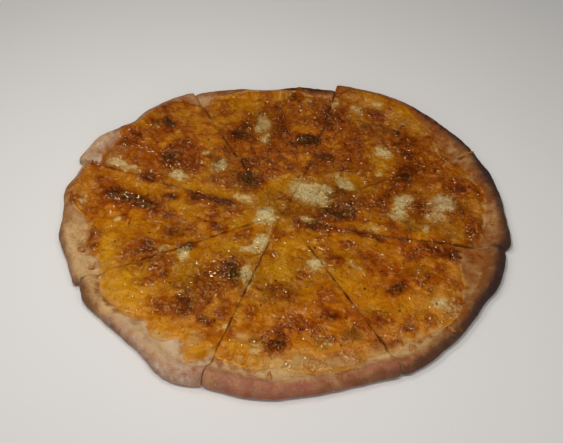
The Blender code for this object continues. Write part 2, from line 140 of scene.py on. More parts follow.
# Places are in mm from where the cuts cross, +x to the right and +y away from the viewer:
# x, y, half length, half width, turn in degrees, strength
patches = {
    "cream": [
        # the small pale patches at (-112.6, -7), (-34, -97) and (-106.6, -65.4) are painted highlights, where
        # glints shine
        (16, -5, 6, 2.5, -30, .9), (81, 10, 8, 5, 80, .95), (78, 0, 6, 4.5, 20, .8), (86, 16, 5, 4, 30, .6),
        (110, 12, 9, 8, 20, .95), (104, -1, 7, 4, 0, .9), (96.5, -13, 5, 2.5, 80, .8),
        (62, -14, 5, 2, -12, .8), (15.5, 20.5, 12, 9.5, -35, 1), (26, 14.3, 7, 5, -40, .95),
        (30, 24, 8, 4, -30, .8), (43, 29.8, 8, 4, -50, .85), (36, 38, 6, 2, -20, .5),
        (71, 65.9, 6, 5, 60, .8), (74, 59.7, 5, 4, 70, .6), (67, 40.5, 5, 3, 40, .6),
        (55.6, 112.3, 7, 4, -60, .7), (38.6, 120.5, 6, 3, 80, .6), (72, 118.5, 8, 4, -40, .5),
        (103, 95.8, 5, 4, -50, .5), (-16.2, 93, 11, 5.5, 85, .68), (-15, 77.6, 7, 3.5, 85, .5),
        (-1.5, 128.7, 5, 5, 0, .5), (18.3, 121.4, 6, 4, 80, .45), (-45, 133, 7, 4, 20, .5),
        (-26.8, 12.4, 8, 3, -25, .95), (-75, 35, 7, 4.5, -30, .85), (-114, 44.2, 12, 3.5, -25, .85),
        (-124, 50.4, 5, 4, 0, .6), (-56.5, 59.6, 4, 3, 0, .7), (-46.3, 46.3, 9, 5, 60, .65),
        (-12, -3.5, 8, 6.5, 80, 1), (-112.6, -7, 3, 2, 90, .95), (-138, 10, 8, 3, 85, .6),
        (-78, -34, 5, 4, -50, .5), (-14.5, -27.5, 9, 4.5, 65, .9), (-22.7, -32.6, 6, 3, 20, .8),
        (-64.7, -39.8, 6.5, 4, 100, .9), (-23.7, -53, 8, 3, 75, .95), (-20.7, -63.4, 7, 2.5, 75, .85),
        (-64.7, -71.5, 5, 1.5, 20, .6), (-34, -97, 3, 1.8, 60, .9), (-106.6, -65.4, 4, 4, 0, .4),
        (21.4, -46.6, 8, 5.5, -55, .8), (-15, -113.4, 5, 4.5, 20, .8), (-9.9, -72.7, 3, 3, 0, .4),
        (28, -109, 4, 1.5, 15, .6), (47.7, -48, 7, 2, -50, .8), (99.8, -77.3, 6, 5, -20, .9),
    ],
    "gold": [
        (93.4, -19, 5, 4, 60, 1), (60, -12.5, 13, 2.5, -12, .9), (116.7, -20, 5, 5, 0, .5),
        (20.5, 16.4, 3, 2, 60, .9), (53.5, 35, 9, 6, -20, .9), (70, 50.4, 9, 7, 70, .9),
        (56.6, 98.9, 6, 6, 0, .7), (39, 71, 6, 5, 0, .5), (74, 59.7, 6, 5, 0, .6), (0, 27, 11, 7, 0, .8),
        (14, 56.7, 5, 5, 0, .7), (21.4, 87, 8, 5, 0, .9), (10, 88, 7, 5, 0, .5), (-48.5, 91, 8, 6, 70, .9),
        (-29.7, 118, 13, 11, 70, .55), (-13.4, 15.5, 6, 5, 0, .6), (-42, 20.6, 9, 4, -22, .9),
        (-64.7, 24.7, 11, 4, -20, 1), (-64.7, 86.3, 12, 7, 100, .6), (-54.5, 74, 8, 8, 0, .8),
        (-81, 76, 8, 5, 40, .5), (-99.4, 23.8, 14, 4.5, -20, .7), (-69, 6.6, 8, 4, -30, .7),
        (-76, 3.5, 5, 4, 0, .5), (-116.6, -13.7, 8, 5, 0, .7), (-115.6, -24.8, 6, 6, 0, .9),
        (-112.6, -35, 9, 6, 70, .8), (-31.6, -13.7, 6, 4, 30, .9), (-85, -20, 8, 6, 0, .4),
        (-100, -15, 9, 6, 0, .5), (-38, -29.6, 11, 7, 35, .6), (-63.7, -53, 6, 5, 0, .7),
        (-97.4, -71.5, 14, 11, -40, .95), (-75, -100, 7, 4, 60, .8), (-47.3, -116.6, 7.5, 5, -20, 1),
        (-58, -100, 8, 5, 0, .5), (0.5, -32, 8, 7, 0, .7), (-1.6, -51.8, 11, 7, 0, 1),
        (-24.5, -111, 9, 4, 15, .9), (13, -107, 6, 5, 0, .6), (17, -68, 8, 6, 0, .5),
        (-25, -88, 6, 6, 0, .4), (42, -59, 12, 9, -50, .7), (57, -81, 9, 8, 0, .5), (83, -80, 10, 7, 0, .6),
        (100, -45, 7, 6, 0, .5), (52, -25, 8, 5, 0, .4),
    ],
    "toast": [
        (108, -87, 8, 5, -40, .8), (138, 20, 8, 4, 80, .7), (46, 130, 8, 6, 0, .9), (-82, 117, 9, 5, 15, .6),
        (-92, 113, 6, 4, 40, .8), (-136, 47, 5, 5, 0, .8), (5, 85, 55, 38, 0, .5), (-60, 62, 50, 40, 0, .36),
        (-95, -10, 40, 25, 0, .2), (62, 62, 50, 40, 30, .14), (100, 30, 45, 40, 60, .18),
        (55, 80, 45, 35, 0, .16), (68, 11.3, 8.5, 7.5, 0, .9), (94, 9, 9, 5, 80, .95),
        (119, 3, 8, 4.5, 10, .95), (124.8, 28, 11, 8, -15, .95), (113, 36, 5, 4, 0, .6),
        (129, -12, 10, 6, 80, .9), (124.8, -21, 7, 5, 70, .7), (83.8, 31.6, 10, 6, 60, .9),
        (77, 30.6, 6, 5, 0, .6), (107.6, 34.6, 7, 5, 20, .6), (69, -10, 6, 4, 0, .4), (51, 16, 6, 5, 0, .5),
        (121.5, 54.5, 7, 6, 60, .7), (100, 50, 8, 6, 60, .7), (6, 13.3, 4, 2.5, 0, .95),
        (57.6, 50.4, 6, 5, 70, .85), (49.4, 73, 9, 7, -30, .95), (88.6, 72, 9, 7, 60, .95),
        (92.7, 62.8, 8, 6, 0, .9), (71, 107, 8, 6, -20, .95), (35, 96.8, 8, 5, 0, .9),
        (41, 130.8, 5, 4, 0, .85), (44, 46, 6, 4, 0, .4), (109, 81.3, 6, 3, 90, .8),
        (18.5, 46.3, 6, 4, 80, .8), (110, 66, 7, 5, 60, .6), (0, 44, 11, 8, 0, .75),
        (-8, 60, 12, 8, 90, .75), (8, 66, 9, 6, 60, .7), (-22, 54, 8, 8, 0, .7), (-0.5, 80.7, 9, 4.5, 88, 1),
        (-29.7, 91, 7, 5, 60, .9), (-45.4, 116, 3, 3, 0, .8), (-45, 105.7, 4, 3.5, 0, .85),
        (-16.2, 124.5, 5.5, 5, 0, .7), (7.8, 122.4, 9, 5.5, 85, .95), (25.6, 114, 9, 7.5, 80, .9),
        (29.7, 99, 11, 5, 80, .9), (-10, 113, 8, 5, 20, .8), (-26, 74, 6, 5, 0, .6),
        (-95.5, 34, 8, 5, -20, .95), (-116, 49.3, 8, 3.5, -25, .4), (-118, 65.7, 11, 8, 10, .9),
        (-108.8, 81, 6, 5, 30, .8), (-86.3, 86.3, 6, 4, 70, .9), (-83.2, 116, 8, 3, 15, .95),
        (-93.4, 106.8, 5, 4, 0, .6), (-69.8, 66.8, 11, 7, 35, .95), (-68.8, 54.5, 10, 8, 20, .95),
        (-67.8, 44.2, 11, 5.5, 10, .95), (-41, 25.7, 4, 4, 0, .4), (-91.4, 71.9, 2.5, 2.5, 0, .9),
        (-24.7, 55.5, 8, 5, 100, .85), (-104, 48, 8, 6, 0, .5), (-52, 30, 6, 5, 0, .4),
        (-63, 15.7, 7.5, 3.5, -20, .95), (-103.4, 11.6, 9, 5, -15, .95), (-121.7, 18.7, 13, 6.5, -28, .95),
        (-126.7, 27.8, 8, 5, -30, .8), (-78, -4.6, 4, 3, 0, .8), (-73, -17.7, 6, 4.5, 40, .8),
        (-87, .5, 5, 3.5, 0, .6), (-107.5, -4.6, 4, 3, 80, .7), (-125.7, -27.8, 10, 4.5, 100, .95),
        (-145, 7.6, 9, 4, 85, .6), (-89.3, -35, 6.5, 6, 0, .95), (-39.7, -16.7, 5.5, 3.5, 20, .95),
        (-47.8, 0, 6, 3.5, 90, .9), (-32.6, .5, 6, 3.5, 0, .75), (-59, -19.7, 5, 4, 0, .45),
        (-130, 0, 7, 6, 90, .5), (-97, -40, 8, 4, 30, .6), (-27.8, -22.4, 7, 5, 35, .85),
        (-33, -50, 9, 8, 0, .95), (-41, -53, 7, 7, 0, .8), (-48.3, -65.4, 11, 8, -30, .7),
        (-77, -45, 10, 5, 25, .7), (-79, -56.2, 9, 6, 30, .85), (-87, -63.4, 6, 5, 30, .6),
        (-77, -82.8, 8, 6, 0, .6), (-60, -82, 11, 9, -50, .35), (-36, -88, 4, 4, 0, .85),
        (-97.4, -89, 8, 3.5, -40, .5), (-93.3, -47, 7, 4, 25, .5), (-45, -75, 6, 5, 0, .6),
        (-3.7, -21.5, 4, 4, 0, .6), (-7.8, -38.2, 6, 3, 10, .6), (13, -57, 6, 3.5, 10, .85),
        (26.6, -70.6, 6, 5, 0, .5), (4.7, -94.6, 9, 6, 0, .6), (14, -96, 7, 5.5, 0, .45),
        (29.7, -86, 7, 4.5, -30, .8), (-4.7, -111, 8, 7, 0, .75), (-1.6, -104, 8, 4, 0, .6),
        (-32.9, -123.8, 5, 5, 0, .8), (-6.8, -128, 6, 2, -55, .7), (10, -122.8, 7, 4, 10, .65),
        (20.4, -123.8, 6, 4, 0, .6), (34, -120.7, 7, 5, 0, .8), (42.3, -118.6, 7, 5.5, 40, .75),
        (34, -106, 6, 2.5, 10, .7), (-19, -87, 5, 5, 0, .5), (22, -100, 7, 5, 0, .6),
        (35.2, -15.8, 5, 3.5, 0, .8), (28, -34.6, 6, 3.5, -45, .75), (33.2, -43, 7, 4.5, -50, .9),
        (70.7, -49, 7, 5, 0, .65), (59.2, -40.8, 6, 4, 0, .45), (84.2, -36.7, 7, 4.5, -30, .9),
        (78, -20, 6, 4.5, 0, .6), (118.6, -36.7, 10, 5.5, -15, .9), (121.7, -47, 7, 6, 0, .6),
        (111.3, -60.6, 8, 6, -50, .8), (94.6, -57.5, 6, 5, 0, .5), (109.2, -78.3, 7, 5, 60, .8),
        (61.3, -87.7, 7, 6, 0, .85), (53, -93, 6, 6, 0, .6), (92.5, -90.8, 7, 5, -30, .8),
        (67.5, -105.4, 6, 5.5, 0, .75), (59.2, -109.6, 6, 5, 0, .75), (83, -88, 6, 5, 0, .6),
        (74, -97, 6, 4, 0, .6), (121, -70, 6, 4, 60, .6),
    ],
    "char": [
        (37.2, 1.7, 12, 9.5, 10, 1), (37.2, 1.7, 8, 6, 10, 1), (88, 43.8, 9, 6.5, 60, .7),
        (35, 22.6, 7, 6, 0, 1), (28.8, 57, 6.5, 5.5, 0, .75), (82.4, 85.5, 3, 3, 0, .8),
        (40, 105, 6, 5, 60, .7), (114, 70, 3, 2, 0, .7), (16.2, 75.5, 8.5, 5, -10, 1),
        (-2.6, 98, 11, 5, 88, .55), (-34, 81.7, 8, 4.5, -25, .8), (-24.7, 34, 8, 7, 0, .95),
        (-21.5, 28.8, 6, 5, 0, .9), (-87.3, 94.5, 5.5, 3.5, -40, .95), (-98.6, 94.5, 3.5, 3, 0, .85),
        (-83.2, 55.5, 7.5, 6.5, 0, .8), (-54.5, 56.5, 3.5, 3, 0, .7), (-44.7, 10.6, 13, 3.2, -20, .85),
        (-95.3, 6.6, 10, 4.5, -8, .95), (-79, 13.7, 5, 3, -10, .85), (-45.7, -12.7, 3.5, 3, 0, .7),
        (-117, 15, 6, 4, 0, .4), (-62.6, -32.6, 5, 2.8, 10, 1), (-28.9, -57.2, 6, 5, 60, .9),
        (-33, -49, 6, 5, 0, .6), (-60.6, -77.7, 4.5, 3.5, 0, .6), (-58.5, -85.9, 4.5, 4, 80, .6),
        (-46.3, -94, 5, 3.5, -35, .85), (-71, -85, 5, 4, 0, .3), (-1.6, -70.6, 9, 6.5, -20, .65),
        (-4.7, -112, 6, 5.5, 0, .5), (31, -88, 3, 2.5, 0, .5), (21.7, -11.7, 7, 5, -30, .95),
        (9.2, -9.6, 5, 4, -40, .6), (55, -19, 10, 2.8, -15, .85), (62.3, -22.5, 5, 2.5, -20, .8),
        (43.6, -27.3, 5.5, 2.8, -10, .85), (96.7, -30.4, 8, 5, -10, .6), (107, -34.6, 10, 6, -10, .75),
        (100.9, -47, 4, 3.5, 0, .8), (73.8, -63.8, 8, 2.6, 35, .95), (69.6, -68, 4, 3, 0, .85),
        (78, -95, 3.5, 3.5, 0, .85),
    ],
    "herb": [
        (113.7, 14.4, 7, 6, 0, 1), (86, -10, 6, 5, 0, .8), (74, -1, 4, 3, 0, .6), (51, 16, 6, 5, 0, .5),
        (115, -18, 7, 5, 0, .5), (66, 91.6, 11, 6, -20, .9), (41, 32, 4, 3, 0, .8), (28.8, 57, 6, 5, 0, .8),
        (20, 18, 7, 6, 0, .4), (88, 95, 8, 5, 0, .4), (45, 46, 8, 4, 0, .4), (-18.3, 101.6, 7, 6, 0, .9),
        (-14, 90, 8, 7, 0, .8), (16, 75, 8, 5, 0, .7), (-5, 110, 8, 6, 0, .5), (-32, 84, 8, 5, 0, .6),
        (22, 47, 7, 5, 0, .5), (-46.3, 48, 9, 6, 60, .8), (-26, 33, 9, 8, 0, .8), (-83, 55, 8, 8, 0, .6),
        (-92, 95, 8, 5, 0, .6), (-75, 36, 6, 4, 0, .4), (-33, 22, 7, 5, 0, .5), (-45, 10.6, 13, 4, -20, .9),
        (-79, 13.7, 6, 4, 0, .8), (-97, 10, 12, 6, 0, .6), (-115, 18, 12, 7, 0, .5), (-73, -18, 8, 6, 0, .6),
        (-55, -62, 16, 12, 0, .7), (-60, -80, 8, 10, 0, .6), (-62, -34, 5, 3, 0, .8),
        (-90, -47, 12, 5, 20, .6), (-46, -94, 5, 4, 0, .7), (-28, -57, 6, 6, 0, .7),
        (-1.6, -70.6, 10, 8, 0, 1), (26.6, -107, 6, 4, 0, .9), (43.3, -103, 6, 5, 0, .9),
        (-15, -108, 4, 3, 0, .7), (-20, -60, 10, 6, 0, .4), (29.7, -88, 6, 4, 0, .4),
        (10, -50, 20, 15, 0, .25), (89.4, -51.3, 8, 8, 0, .6), (94.6, -66.9, 4, 4, 0, .6),
        (57, -20, 12, 4, -15, .8), (45, -42, 15, 12, 0, .35), (71, -66, 8, 4, 0, .6), (60, -85, 8, 6, 0, .5),
        (20, -12, 8, 6, 0, .6), (66, 45, 44, 30, 35, .32), (60, 88, 26, 16, -20, .3),
        (90, -2, 40, 16, -5, .3), (-20, 92, 16, 22, 0, .25), (-40, 40, 26, 14, 0, .3),
        (-30, -45, 16, 22, -20, .3), (-8, 4, 22, 16, 0, .3), (107, -32, 14, 7, 0, .4),
        (32, 14, 22, 16, 10, .6), (100, 8, 20, 14, 0, .5), (0, 12, 14, 14, 0, .4),
    ],
    "peach": [                  # paler and pinker, where the dough shows through
        (66, 120, 7, 4, -35, .9), (80, 108, 6, 4, -40, .7), (96, 97, 6, 4, -50, .9),
        (104, 88, 5, 4, -50, .7), (113, 72, 6, 4, 60, .9), (121, 56, 7, 3, 70, .6), (50, 128, 6, 3, 0, .6),
        (134, 6, 4, 8, 0, .7), (-118, 62, 6, 4, 30, .5), (-135, 24, 5, 5, 0, .5), (-84, -70, 6, 4, 0, .6),
        (-110, -50, 6, 5, 0, .6), (-104, -74, 5, 4, 0, .6), (-30, -118, 6, 4, 0, .6),
        (22, -116, 9, 5, 0, .8), (40, -112, 8, 5, 0, .8), (8, -116, 6, 4, 0, .5), (66, -100, 7, 5, 20, .6),
        (88, -74, 6, 5, 0, .5), (112, -54, 5, 6, 0, .5), (52, -104, 6, 4, 0, .5), (-62, -94, 6, 4, 0, .5),
    ],
    "over": [                   # cheese that has run on over the dough
        (126, -34, 7, 11, 15, 1), (130, -18, 6, 10, 5, 1), (121, -52, 5, 7, 25, .8), (137, -12, 4, 8, 0, .5),
        (-136, 50, 4, 6, 30, .7), (138, 22, 5, 8, 5, .5), (-128, 66, 5, 5, 0, .5),
    ],
    "thin": [                   # next to no cheese over the dough
        (26, -124, 8, 4, 0, .6), (36, -122, 7, 4, 15, .5), (-1, -127, 10, 5.5, 0, .95),
        (9, -124, 8, 4.5, 10, .9), (-75, -107, 6, 4.5, -30, .95), (-69, -113, 6, 4, -20, .8),
        (-52, -107, 3.5, 6, 10, .5), (-24, -106, 4, 3, 0, .6), (-100, -95, 8, 3, -35, .6),
        (60, -113, 7, 3, 15, .5), (44, -124, 9, 3, 5, .5), (128, -40, 3, 7, 10, .5),
        (-134, -18, 3, 7, 5, .6),
    ],
    "warm": [                   # a redder orange
        (85, -45, 42, 30, 20, .8), (35, -95, 50, 24, 0, .9), (112, 20, 18, 30, 0, .5),
        (-120, 10, 22, 30, 0, .6), (-60, -100, 40, 18, -30, .7), (45, 78, 30, 22, 0, .4),
        (-95, 60, 30, 24, 0, .4), (55, -10, 30, 20, 0, .3),
    ],
    "lift": [                   # cheese that stands proud, as along a cut
        (75, -14, 32, 3, -12, .6), (-85, 29, 45, 3.5, -20, .6), (-20, -70, 25, 2.5, 75, .4),
        (15.5, 20.5, 11, 8.5, -35, .5), (110, 12, 9, 8, 20, .4), (-97.4, -71.5, 14, 11, -40, .4),
        (-47.3, -116.6, 7.5, 5, -20, .7),
    ],
}

patchEdge = {
    "wander": 2.0 * mm,
    "wanderPitch": 8.0 * mm,
    "ragged": 0.8 * mm,
    "raggedPitch": 2.6 * mm,
    "end": 1.5,                 # in half sizes from the middle of the patch
    "fade": 1.1,
    "halo": 0.35,               # how strong the wider ring round it is
    "haloEnd": 2.6,
    "haloFade": 2.0,
}

crumpled = {                    # what the oven does to grated cheese
    "shreds": 1100,
    "shredReach": 150.0 * mm,
    "shredHalfLength": (2.0 * mm, 6.0 * mm),
    "shredHalfWidth": (0.9 * mm, 1.6 * mm),
    "shredHeight": (0.3 * mm, 0.8 * mm),
    "shredCurl": 25.0,          # how strongly a shred bends, for each metre of its length
    "runShreds": 0.5,           # share of their height left where the cheese has run
    "crispShreds": 0.7,         # and where it has crisped
    "blisters": 4200,
    "blisterReach": 148.0 * mm,
    "blisterRadius": (0.7 * mm, 3.2 * mm),
    "blisterHeight": 0.24,      # share of its radius
    "blisterChance": 0.22,      # on cheese that hasn't toasted
    "burstShare": 0.2,
    "lumpHeight": 1.5 * mm,
    "lumpPitch": 10.0 * mm,
    "smallLump": 0.42,          # its pitch, as a share of the large one
    "waveHeight": 0.05 * mm,
    "wavePitch": 2.6 * mm,
    "grainHeight": 0.13 * mm,
    "grainPitch": 1.7 * mm,
    "fineHeight": 0.04 * mm,
    "finePitch": 1.1 * mm,
    "creamHeight": 0.25 * mm,
    "overall": 1.1,
    "peakHeight": 0.45 * mm,
    "seed": 31,
}

brownedAndShaded = {                     # 0 is gold and 1 nearly black; a second value is what crisp cheese adds; peaks is painted light on the tops of the relief and painted shade in its creases
    "plain": 0.35,
    "toast": 0.34,
    "char": 0.46,
    "gold": -0.26,
    "peach": -0.1,
    "broad": 0.09,
    "slow": 0.15,
    "middle": (0.04, 0.03),
    "fine": (0.02, 0.02),
    "blotches": ((0.05, 9 * mm, 171), (0.045, 5 * mm, 181)),        # depth, pitch, seed
    "blisters": (0.05, 0.09),
    # painted light and shade: the tops of the relief paler and its creases darker, nearly none on crisp
    # cheese
    "peaks": (0.11, -0.09),
    "gather": 0.03,             # how far the tones close up into patches
    "gatherEvery": 0.25,
    "nearEdge": 0.16,           # paler towards the near edge
    "nearEdgeFrom": 112 * mm,
}

creamy = {                      # where the palest cheese lies, and a few pale spots of painted highlight
    "patch": 1.55,
    "patchUneven": (0.95, 0.9),
    "middle": 0.4,
    "fine": 0.35,
    "char": 0.3,
    "sharpShare": 0.25,         # the rest fades out over two wider blurs
    "softShare": 0.3,
    "softTimes": 14,
    "wideTimes": 90,
}


def smooth(share):
    share = np.clip(share, 0.0, 1.0)
    return share * share * (3 - 2 * share)


def along(values, share):       # a smooth curve through equally spaced values
    values = np.asarray(values, float)
    last = len(values) - 1
    place = np.clip(share, 0, 1) * last
    index = np.minimum(place.astype(int), last - 1)
    t = place - index
    before, start = values[np.maximum(index - 1, 0)], values[index]
    end, after = values[index + 1], values[np.minimum(index + 2, last)]
    return (start + 0.5 * t * (end - before) + t * t * (before - 2.5 * start + 2 * end - 0.5 * after)
            + 0.5 * t ** 3 * (after - before + 3 * (start - end)))


def softNoise(x, y, pitch, seed):       # gradient noise, about -1 to 1
    turns = np.random.default_rng(seed).uniform(0, math.tau, (128, 128))
    u, v = x / pitch + 40.5, y / pitch + 40.5
    i, j = np.floor(u).astype(int), np.floor(v).astype(int)
    fu, fv = u - i, v - j
    su, sv = (f * f * f * (f * (f * 6 - 15) + 10) for f in (fu, fv))

    def corner(a, b):
        turn = turns[(j + b) % 128, (i + a) % 128]
        return np.cos(turn) * (fu - a) + np.sin(turn) * (fv - b)

    low = corner(0, 0) * (1 - su) + corner(1, 0) * su
    high = corner(0, 1) * (1 - su) + corner(1, 1) * su
    return 1.5 * (low * (1 - sv) + high * sv)


def layeredNoise(x, y, pitch, seed, layers=3):
    total = 0
    for layer in range(layers):
        total = total + softNoise(x, y, pitch / 2 ** layer, seed + layer) * 0.55 ** layer
    return total / (1 + 0.25 * (layers - 1))


# maps over the whole bread, seen from above
mapHalf, mapStep = 160 * mm, 0.32 * mm
mapLine = np.arange(-mapHalf, mapHalf + mapStep / 2, mapStep)
mapX, mapY = np.meshgrid(mapLine, mapLine)
fromCuts = (mapX - bread["cuts"][0], mapY - bread["cuts"][1])


def noiseMap(pitch, seed, layers=1):
    if layers == 1:
        return softNoise(mapX, mapY, pitch, seed)
    return layeredNoise(mapX, mapY, pitch, seed, layers)


def blurred(field, times=1):
    for _ in range(times):
        for axis in (0, 1):
            field = (field + np.roll(field, 1, axis) + np.roll(field, -1, axis)) / 3
    return field


def windowAt(x, y, reach):      # the rows and columns of the maps round a place
    def span(middle):
        ends = [(middle - reach + mapHalf) / mapStep, (middle + reach + mapHalf) / mapStep + 2]
        return slice(*np.clip(ends, 0, len(mapLine)).astype(int))

    return span(y), span(x)


def anywhere(draw, reach):
    angle, away = draw.uniform(0, math.tau), reach * math.sqrt(draw.random())
    return away * math.cos(angle), away * math.sin(angle)


def patchMap(kind):
    e, seed = patchEdge, 3 + 5 * list(patches).index(kind)

    def astray(place, first):
        return (place + e["wander"] * noiseMap(e["wanderPitch"], first)
                + e["ragged"] * noiseMap(e["raggedPitch"], first + 1))

    x, y = astray(fromCuts[0], seed), astray(fromCuts[1], seed + 2)
    field = np.zeros_like(mapX)
    for atX, atY, long, wide, turn, strength in patches[kind]:
        reach = (e["haloEnd"] * max(long, wide) + 4) * mm
        window = windowAt(atX * mm + bread["cuts"][0], atY * mm + bread["cuts"][1], reach)
        c, s = math.cos(math.radians(turn)), math.sin(math.radians(turn))
        u, v = x[window] - atX * mm, y[window] - atY * mm
        away = np.hypot((u * c + v * s) / (long * mm), (v * c - u * s) / (wide * mm))
        core, ring = smooth((e["end"] - away) / e["fade"]), smooth((e["haloEnd"] - away) / e["haloFade"])
        value = strength * (core + e["halo"] * ring) / (1 + e["halo"])
        field[window] = 1 - (1 - field[window]) * (1 - value)
    return field


def puffy(pitch, seed):         # rounded lumps with creases between them
    x, y = (place + 0.35 * pitch * noiseMap(pitch, seed + k) for k, place in ((1, mapX), (2, mapY)))
    return np.sqrt(softNoise(x, y, pitch, seed) ** 2 + 0.02) - 0.3


def shredMap():
    c = crumpled
    draw = random.Random(c["seed"])
    field = np.zeros_like(mapX)
    bend = noiseMap(30 * mm, 91)
    for _ in range(c["shreds"]):
        atX, atY = anywhere(draw, c["shredReach"])
        half, wide = draw.uniform(*c["shredHalfLength"]), draw.uniform(*c["shredHalfWidth"])
        tall, curl = draw.uniform(*c["shredHeight"]), draw.uniform(-c["shredCurl"], c["shredCurl"])
        window = windowAt(atX, atY, half + 1.5 * mm)
        spot = bend[window]
        if spot.size == 0:
            turn = draw.uniform(0, math.pi)
        else:
            turn = math.pi * spot.flat[spot.size // 2] * 1.5 + draw.gauss(0, 0.9)
        co, si = math.cos(turn), math.sin(turn)
        u, v = mapX[window] - atX, mapY[window] - atY
        u, v = u * co + v * si, v * co - u * si
        v = v - curl * u * u
        bulge = np.sqrt(np.maximum(0, 1 - (v / wide) ** 2)) * smooth((half - np.abs(u)) / (2 * wide))
        field[window] = np.maximum(field[window] * 0.93, bulge * tall)
    return field


def blisterMaps(toasted):       # bubbles that have browned, each in its own tone
    c = crumpled
    draw = random.Random(c["seed"] + 1)
    wrinkled = noiseMap(2.2 * mm, 141)
    height, brown = np.zeros_like(mapX), np.zeros_like(mapX)
    small, large = c["blisterRadius"]
    made = 0
    while made < c["blisters"]:
        atX, atY = anywhere(draw, c["blisterReach"])
        if draw.random() > c["blisterChance"] + toasted[windowAt(atX, atY, 0.0)].max():
            continue
        made += 1
        size = small + (large - small) * draw.random() ** 1.8
        window = windowAt(atX, atY, 1.6 * size)
        away = np.hypot(mapX[window] - atX, (mapY[window] - atY) * draw.uniform(0.75, 1.35)) / size
        away = away * (1 + 0.4 * wrinkled[window])
        dome = np.sqrt(np.maximum(0, 1 - away ** 2))
        if draw.random() < c["burstShare"]:
            dome = np.exp(-((away - 0.75) / 0.28) ** 2) * 0.7
        raised = dome * size * c["blisterHeight"]
        higher = raised > height[window]
        tone = draw.gauss(0.1, 0.55)
        height[window] = np.where(higher, raised, height[window])
        brown[window] = np.where(higher, tone * smooth(dome / 0.6), brown[window])
    return height, brown


maps = {kind: patchMap(kind) for kind in patches}
tones = {
    "broad": noiseMap(9 * mm, 11, 3),
    "middle": noiseMap(4 * mm, 21, 3),
    "fine": noiseMap(1.8 * mm, 31, 2),
}
toasted = np.maximum(maps["toast"], maps["char"])
shreds = shredMap()
blisterHeight, blisterBrown = blisterMaps(toasted * 0.75)
crisp = smooth((toasted + 0.15 + 0.25 * tones["middle"]) / 0.8)
fromMiddle = np.hypot(*fromCuts)
print("maps drawn")


def reliefMap():
    c = crumpled
    relief = c["runShreds"] * blurred(shreds, 5) * (1 - crisp) + c["crispShreds"] * blurred(shreds, 2) * crisp
    relief += blurred(blisterHeight, 1) * (0.15 + 1.05 * crisp)
    sandy = smooth(crisp * 1.1 - 0.1 + 0.5 * noiseMap(6 * mm, 57))
    grain = c["grainHeight"] * noiseMap(c["grainPitch"], 51)
    relief += sandy * (grain + c["fineHeight"] * noiseMap(c["finePitch"], 53))
    relief += c["waveHeight"] * noiseMap(c["wavePitch"], 55)
    smallLumps = (0.12 + 0.2 * crisp) * puffy(c["lumpPitch"] * c["smallLump"], 65)
    relief += c["lumpHeight"] * (puffy(c["lumpPitch"], 61) + smallLumps)
    relief += blurred(maps["lift"], 6) * mm + c["creamHeight"] * blurred(maps["cream"], 3)
    return c["overall"] * (relief - relief[fromMiddle < 100 * mm].mean())


def browningAndShadingMaps(relief):       # how brown the cheese is, with painted light on the tops of its relief and painted shade in its creases, and where it has stayed pale
    b = brownedAndShaded
    peaks = np.clip((relief - blurred(relief, 12)) / crumpled["peakHeight"], -1.5, 1.5)
    whenCrisp = lambda pair: pair[0] + pair[1] * crisp
    browning = b["plain"] + b["toast"] * maps["toast"] + b["char"] * maps["char"] + b["gold"] * maps["gold"]
    browning += b["broad"] * tones["broad"] + b["slow"] * noiseMap(28 * mm, 15, 2)
    browning += whenCrisp(b["middle"]) * tones["middle"] + whenCrisp(b["fine"]) * tones["fine"]
    for depth, pitch, seed in b["blotches"]:
        browning += depth * np.tanh(5 * noiseMap(pitch, seed, 2))
    # the peaks term is painted light on the tops and painted shade in the creases
    browning += blurred(blisterBrown, 2) * whenCrisp(b["blisters"]) - whenCrisp(b["peaks"]) * np.tanh(peaks)
    browning -= b["gather"] * np.sin(math.tau * (browning - 0.3) / b["gatherEvery"])
    margin = smooth((fromMiddle - b["nearEdgeFrom"]) / (16 * mm)) * smooth(-mapY / (60 * mm))
    browning -= margin * (b["nearEdge"] + 0.12 * tones["broad"])
    pale = smooth((noiseMap(7 * mm, 201, 3) - 0.12 + 0.5 * margin) / 0.5)
    pale *= (1 - 0.75 * crisp) * (1 - 0.7 * maps["gold"])
    pale = np.maximum(pale, maps["peach"] * smooth(0.75 + tones["middle"]))
    return browning + b["peach"] * maps["peach"], pale


def creamMap():
    c = creamy
    least, uneven = c["patchUneven"]
    cream = c["patch"] * maps["cream"] * (least + uneven * tones["middle"])
    cream += c["middle"] * tones["middle"] + c["fine"] * tones["fine"] - c["char"] * maps["char"] - 0.06
    cream = smooth(cream / 1.7)
    return (c["sharpShare"] * cream + c["softShare"] * blurred(cream, c["softTimes"])
            + (1 - c["sharpShare"] - c["softShare"]) * blurred(cream, c["wideTimes"]))


maps["relief"], maps["crisp"] = reliefMap(), crisp
maps["browning"], maps["pale"] = browningAndShadingMaps(maps["relief"])
maps["cream"] = creamMap()
print("cheese tones worked out")


def readMap(name, x, y):
    field = maps[name]
    u, v = (np.clip((place + mapHalf) / mapStep, 0, len(mapLine) - 1.001) for place in (x, y))
    i, j = u.astype(int), v.astype(int)
    fu, fv = u - i, v - j
    low = field[j, i] * (1 - fu) + field[j, i + 1] * fu
    high = field[j + 1, i] * (1 - fu) + field[j + 1, i + 1] * fu
    return low * (1 - fv) + high * fv


def swellMap():                 # the slow swell of the cheese solids, on every fifth map point
    step, pitch, fine = 5, cheeseLayer["reliefPitch"], cheeseLayer["fineRelief"]

    def swell(x, y):
        return noise.noise(Vector((x, y, 0)) / pitch) + fine * noise.noise(2 * Vector((x, y, 0)) / pitch)

    coarse = np.array([[swell(x, y) for x in mapLine[::step]] for y in mapLine[::step]])
    places, known = np.arange(len(mapLine)) / step, np.arange(len(coarse))
    rows = np.array([np.interp(places, known, row) for row in coarse])
    return np.array([np.interp(places, known, column) for column in rows.T]).T


maps["swell"] = swellMap()


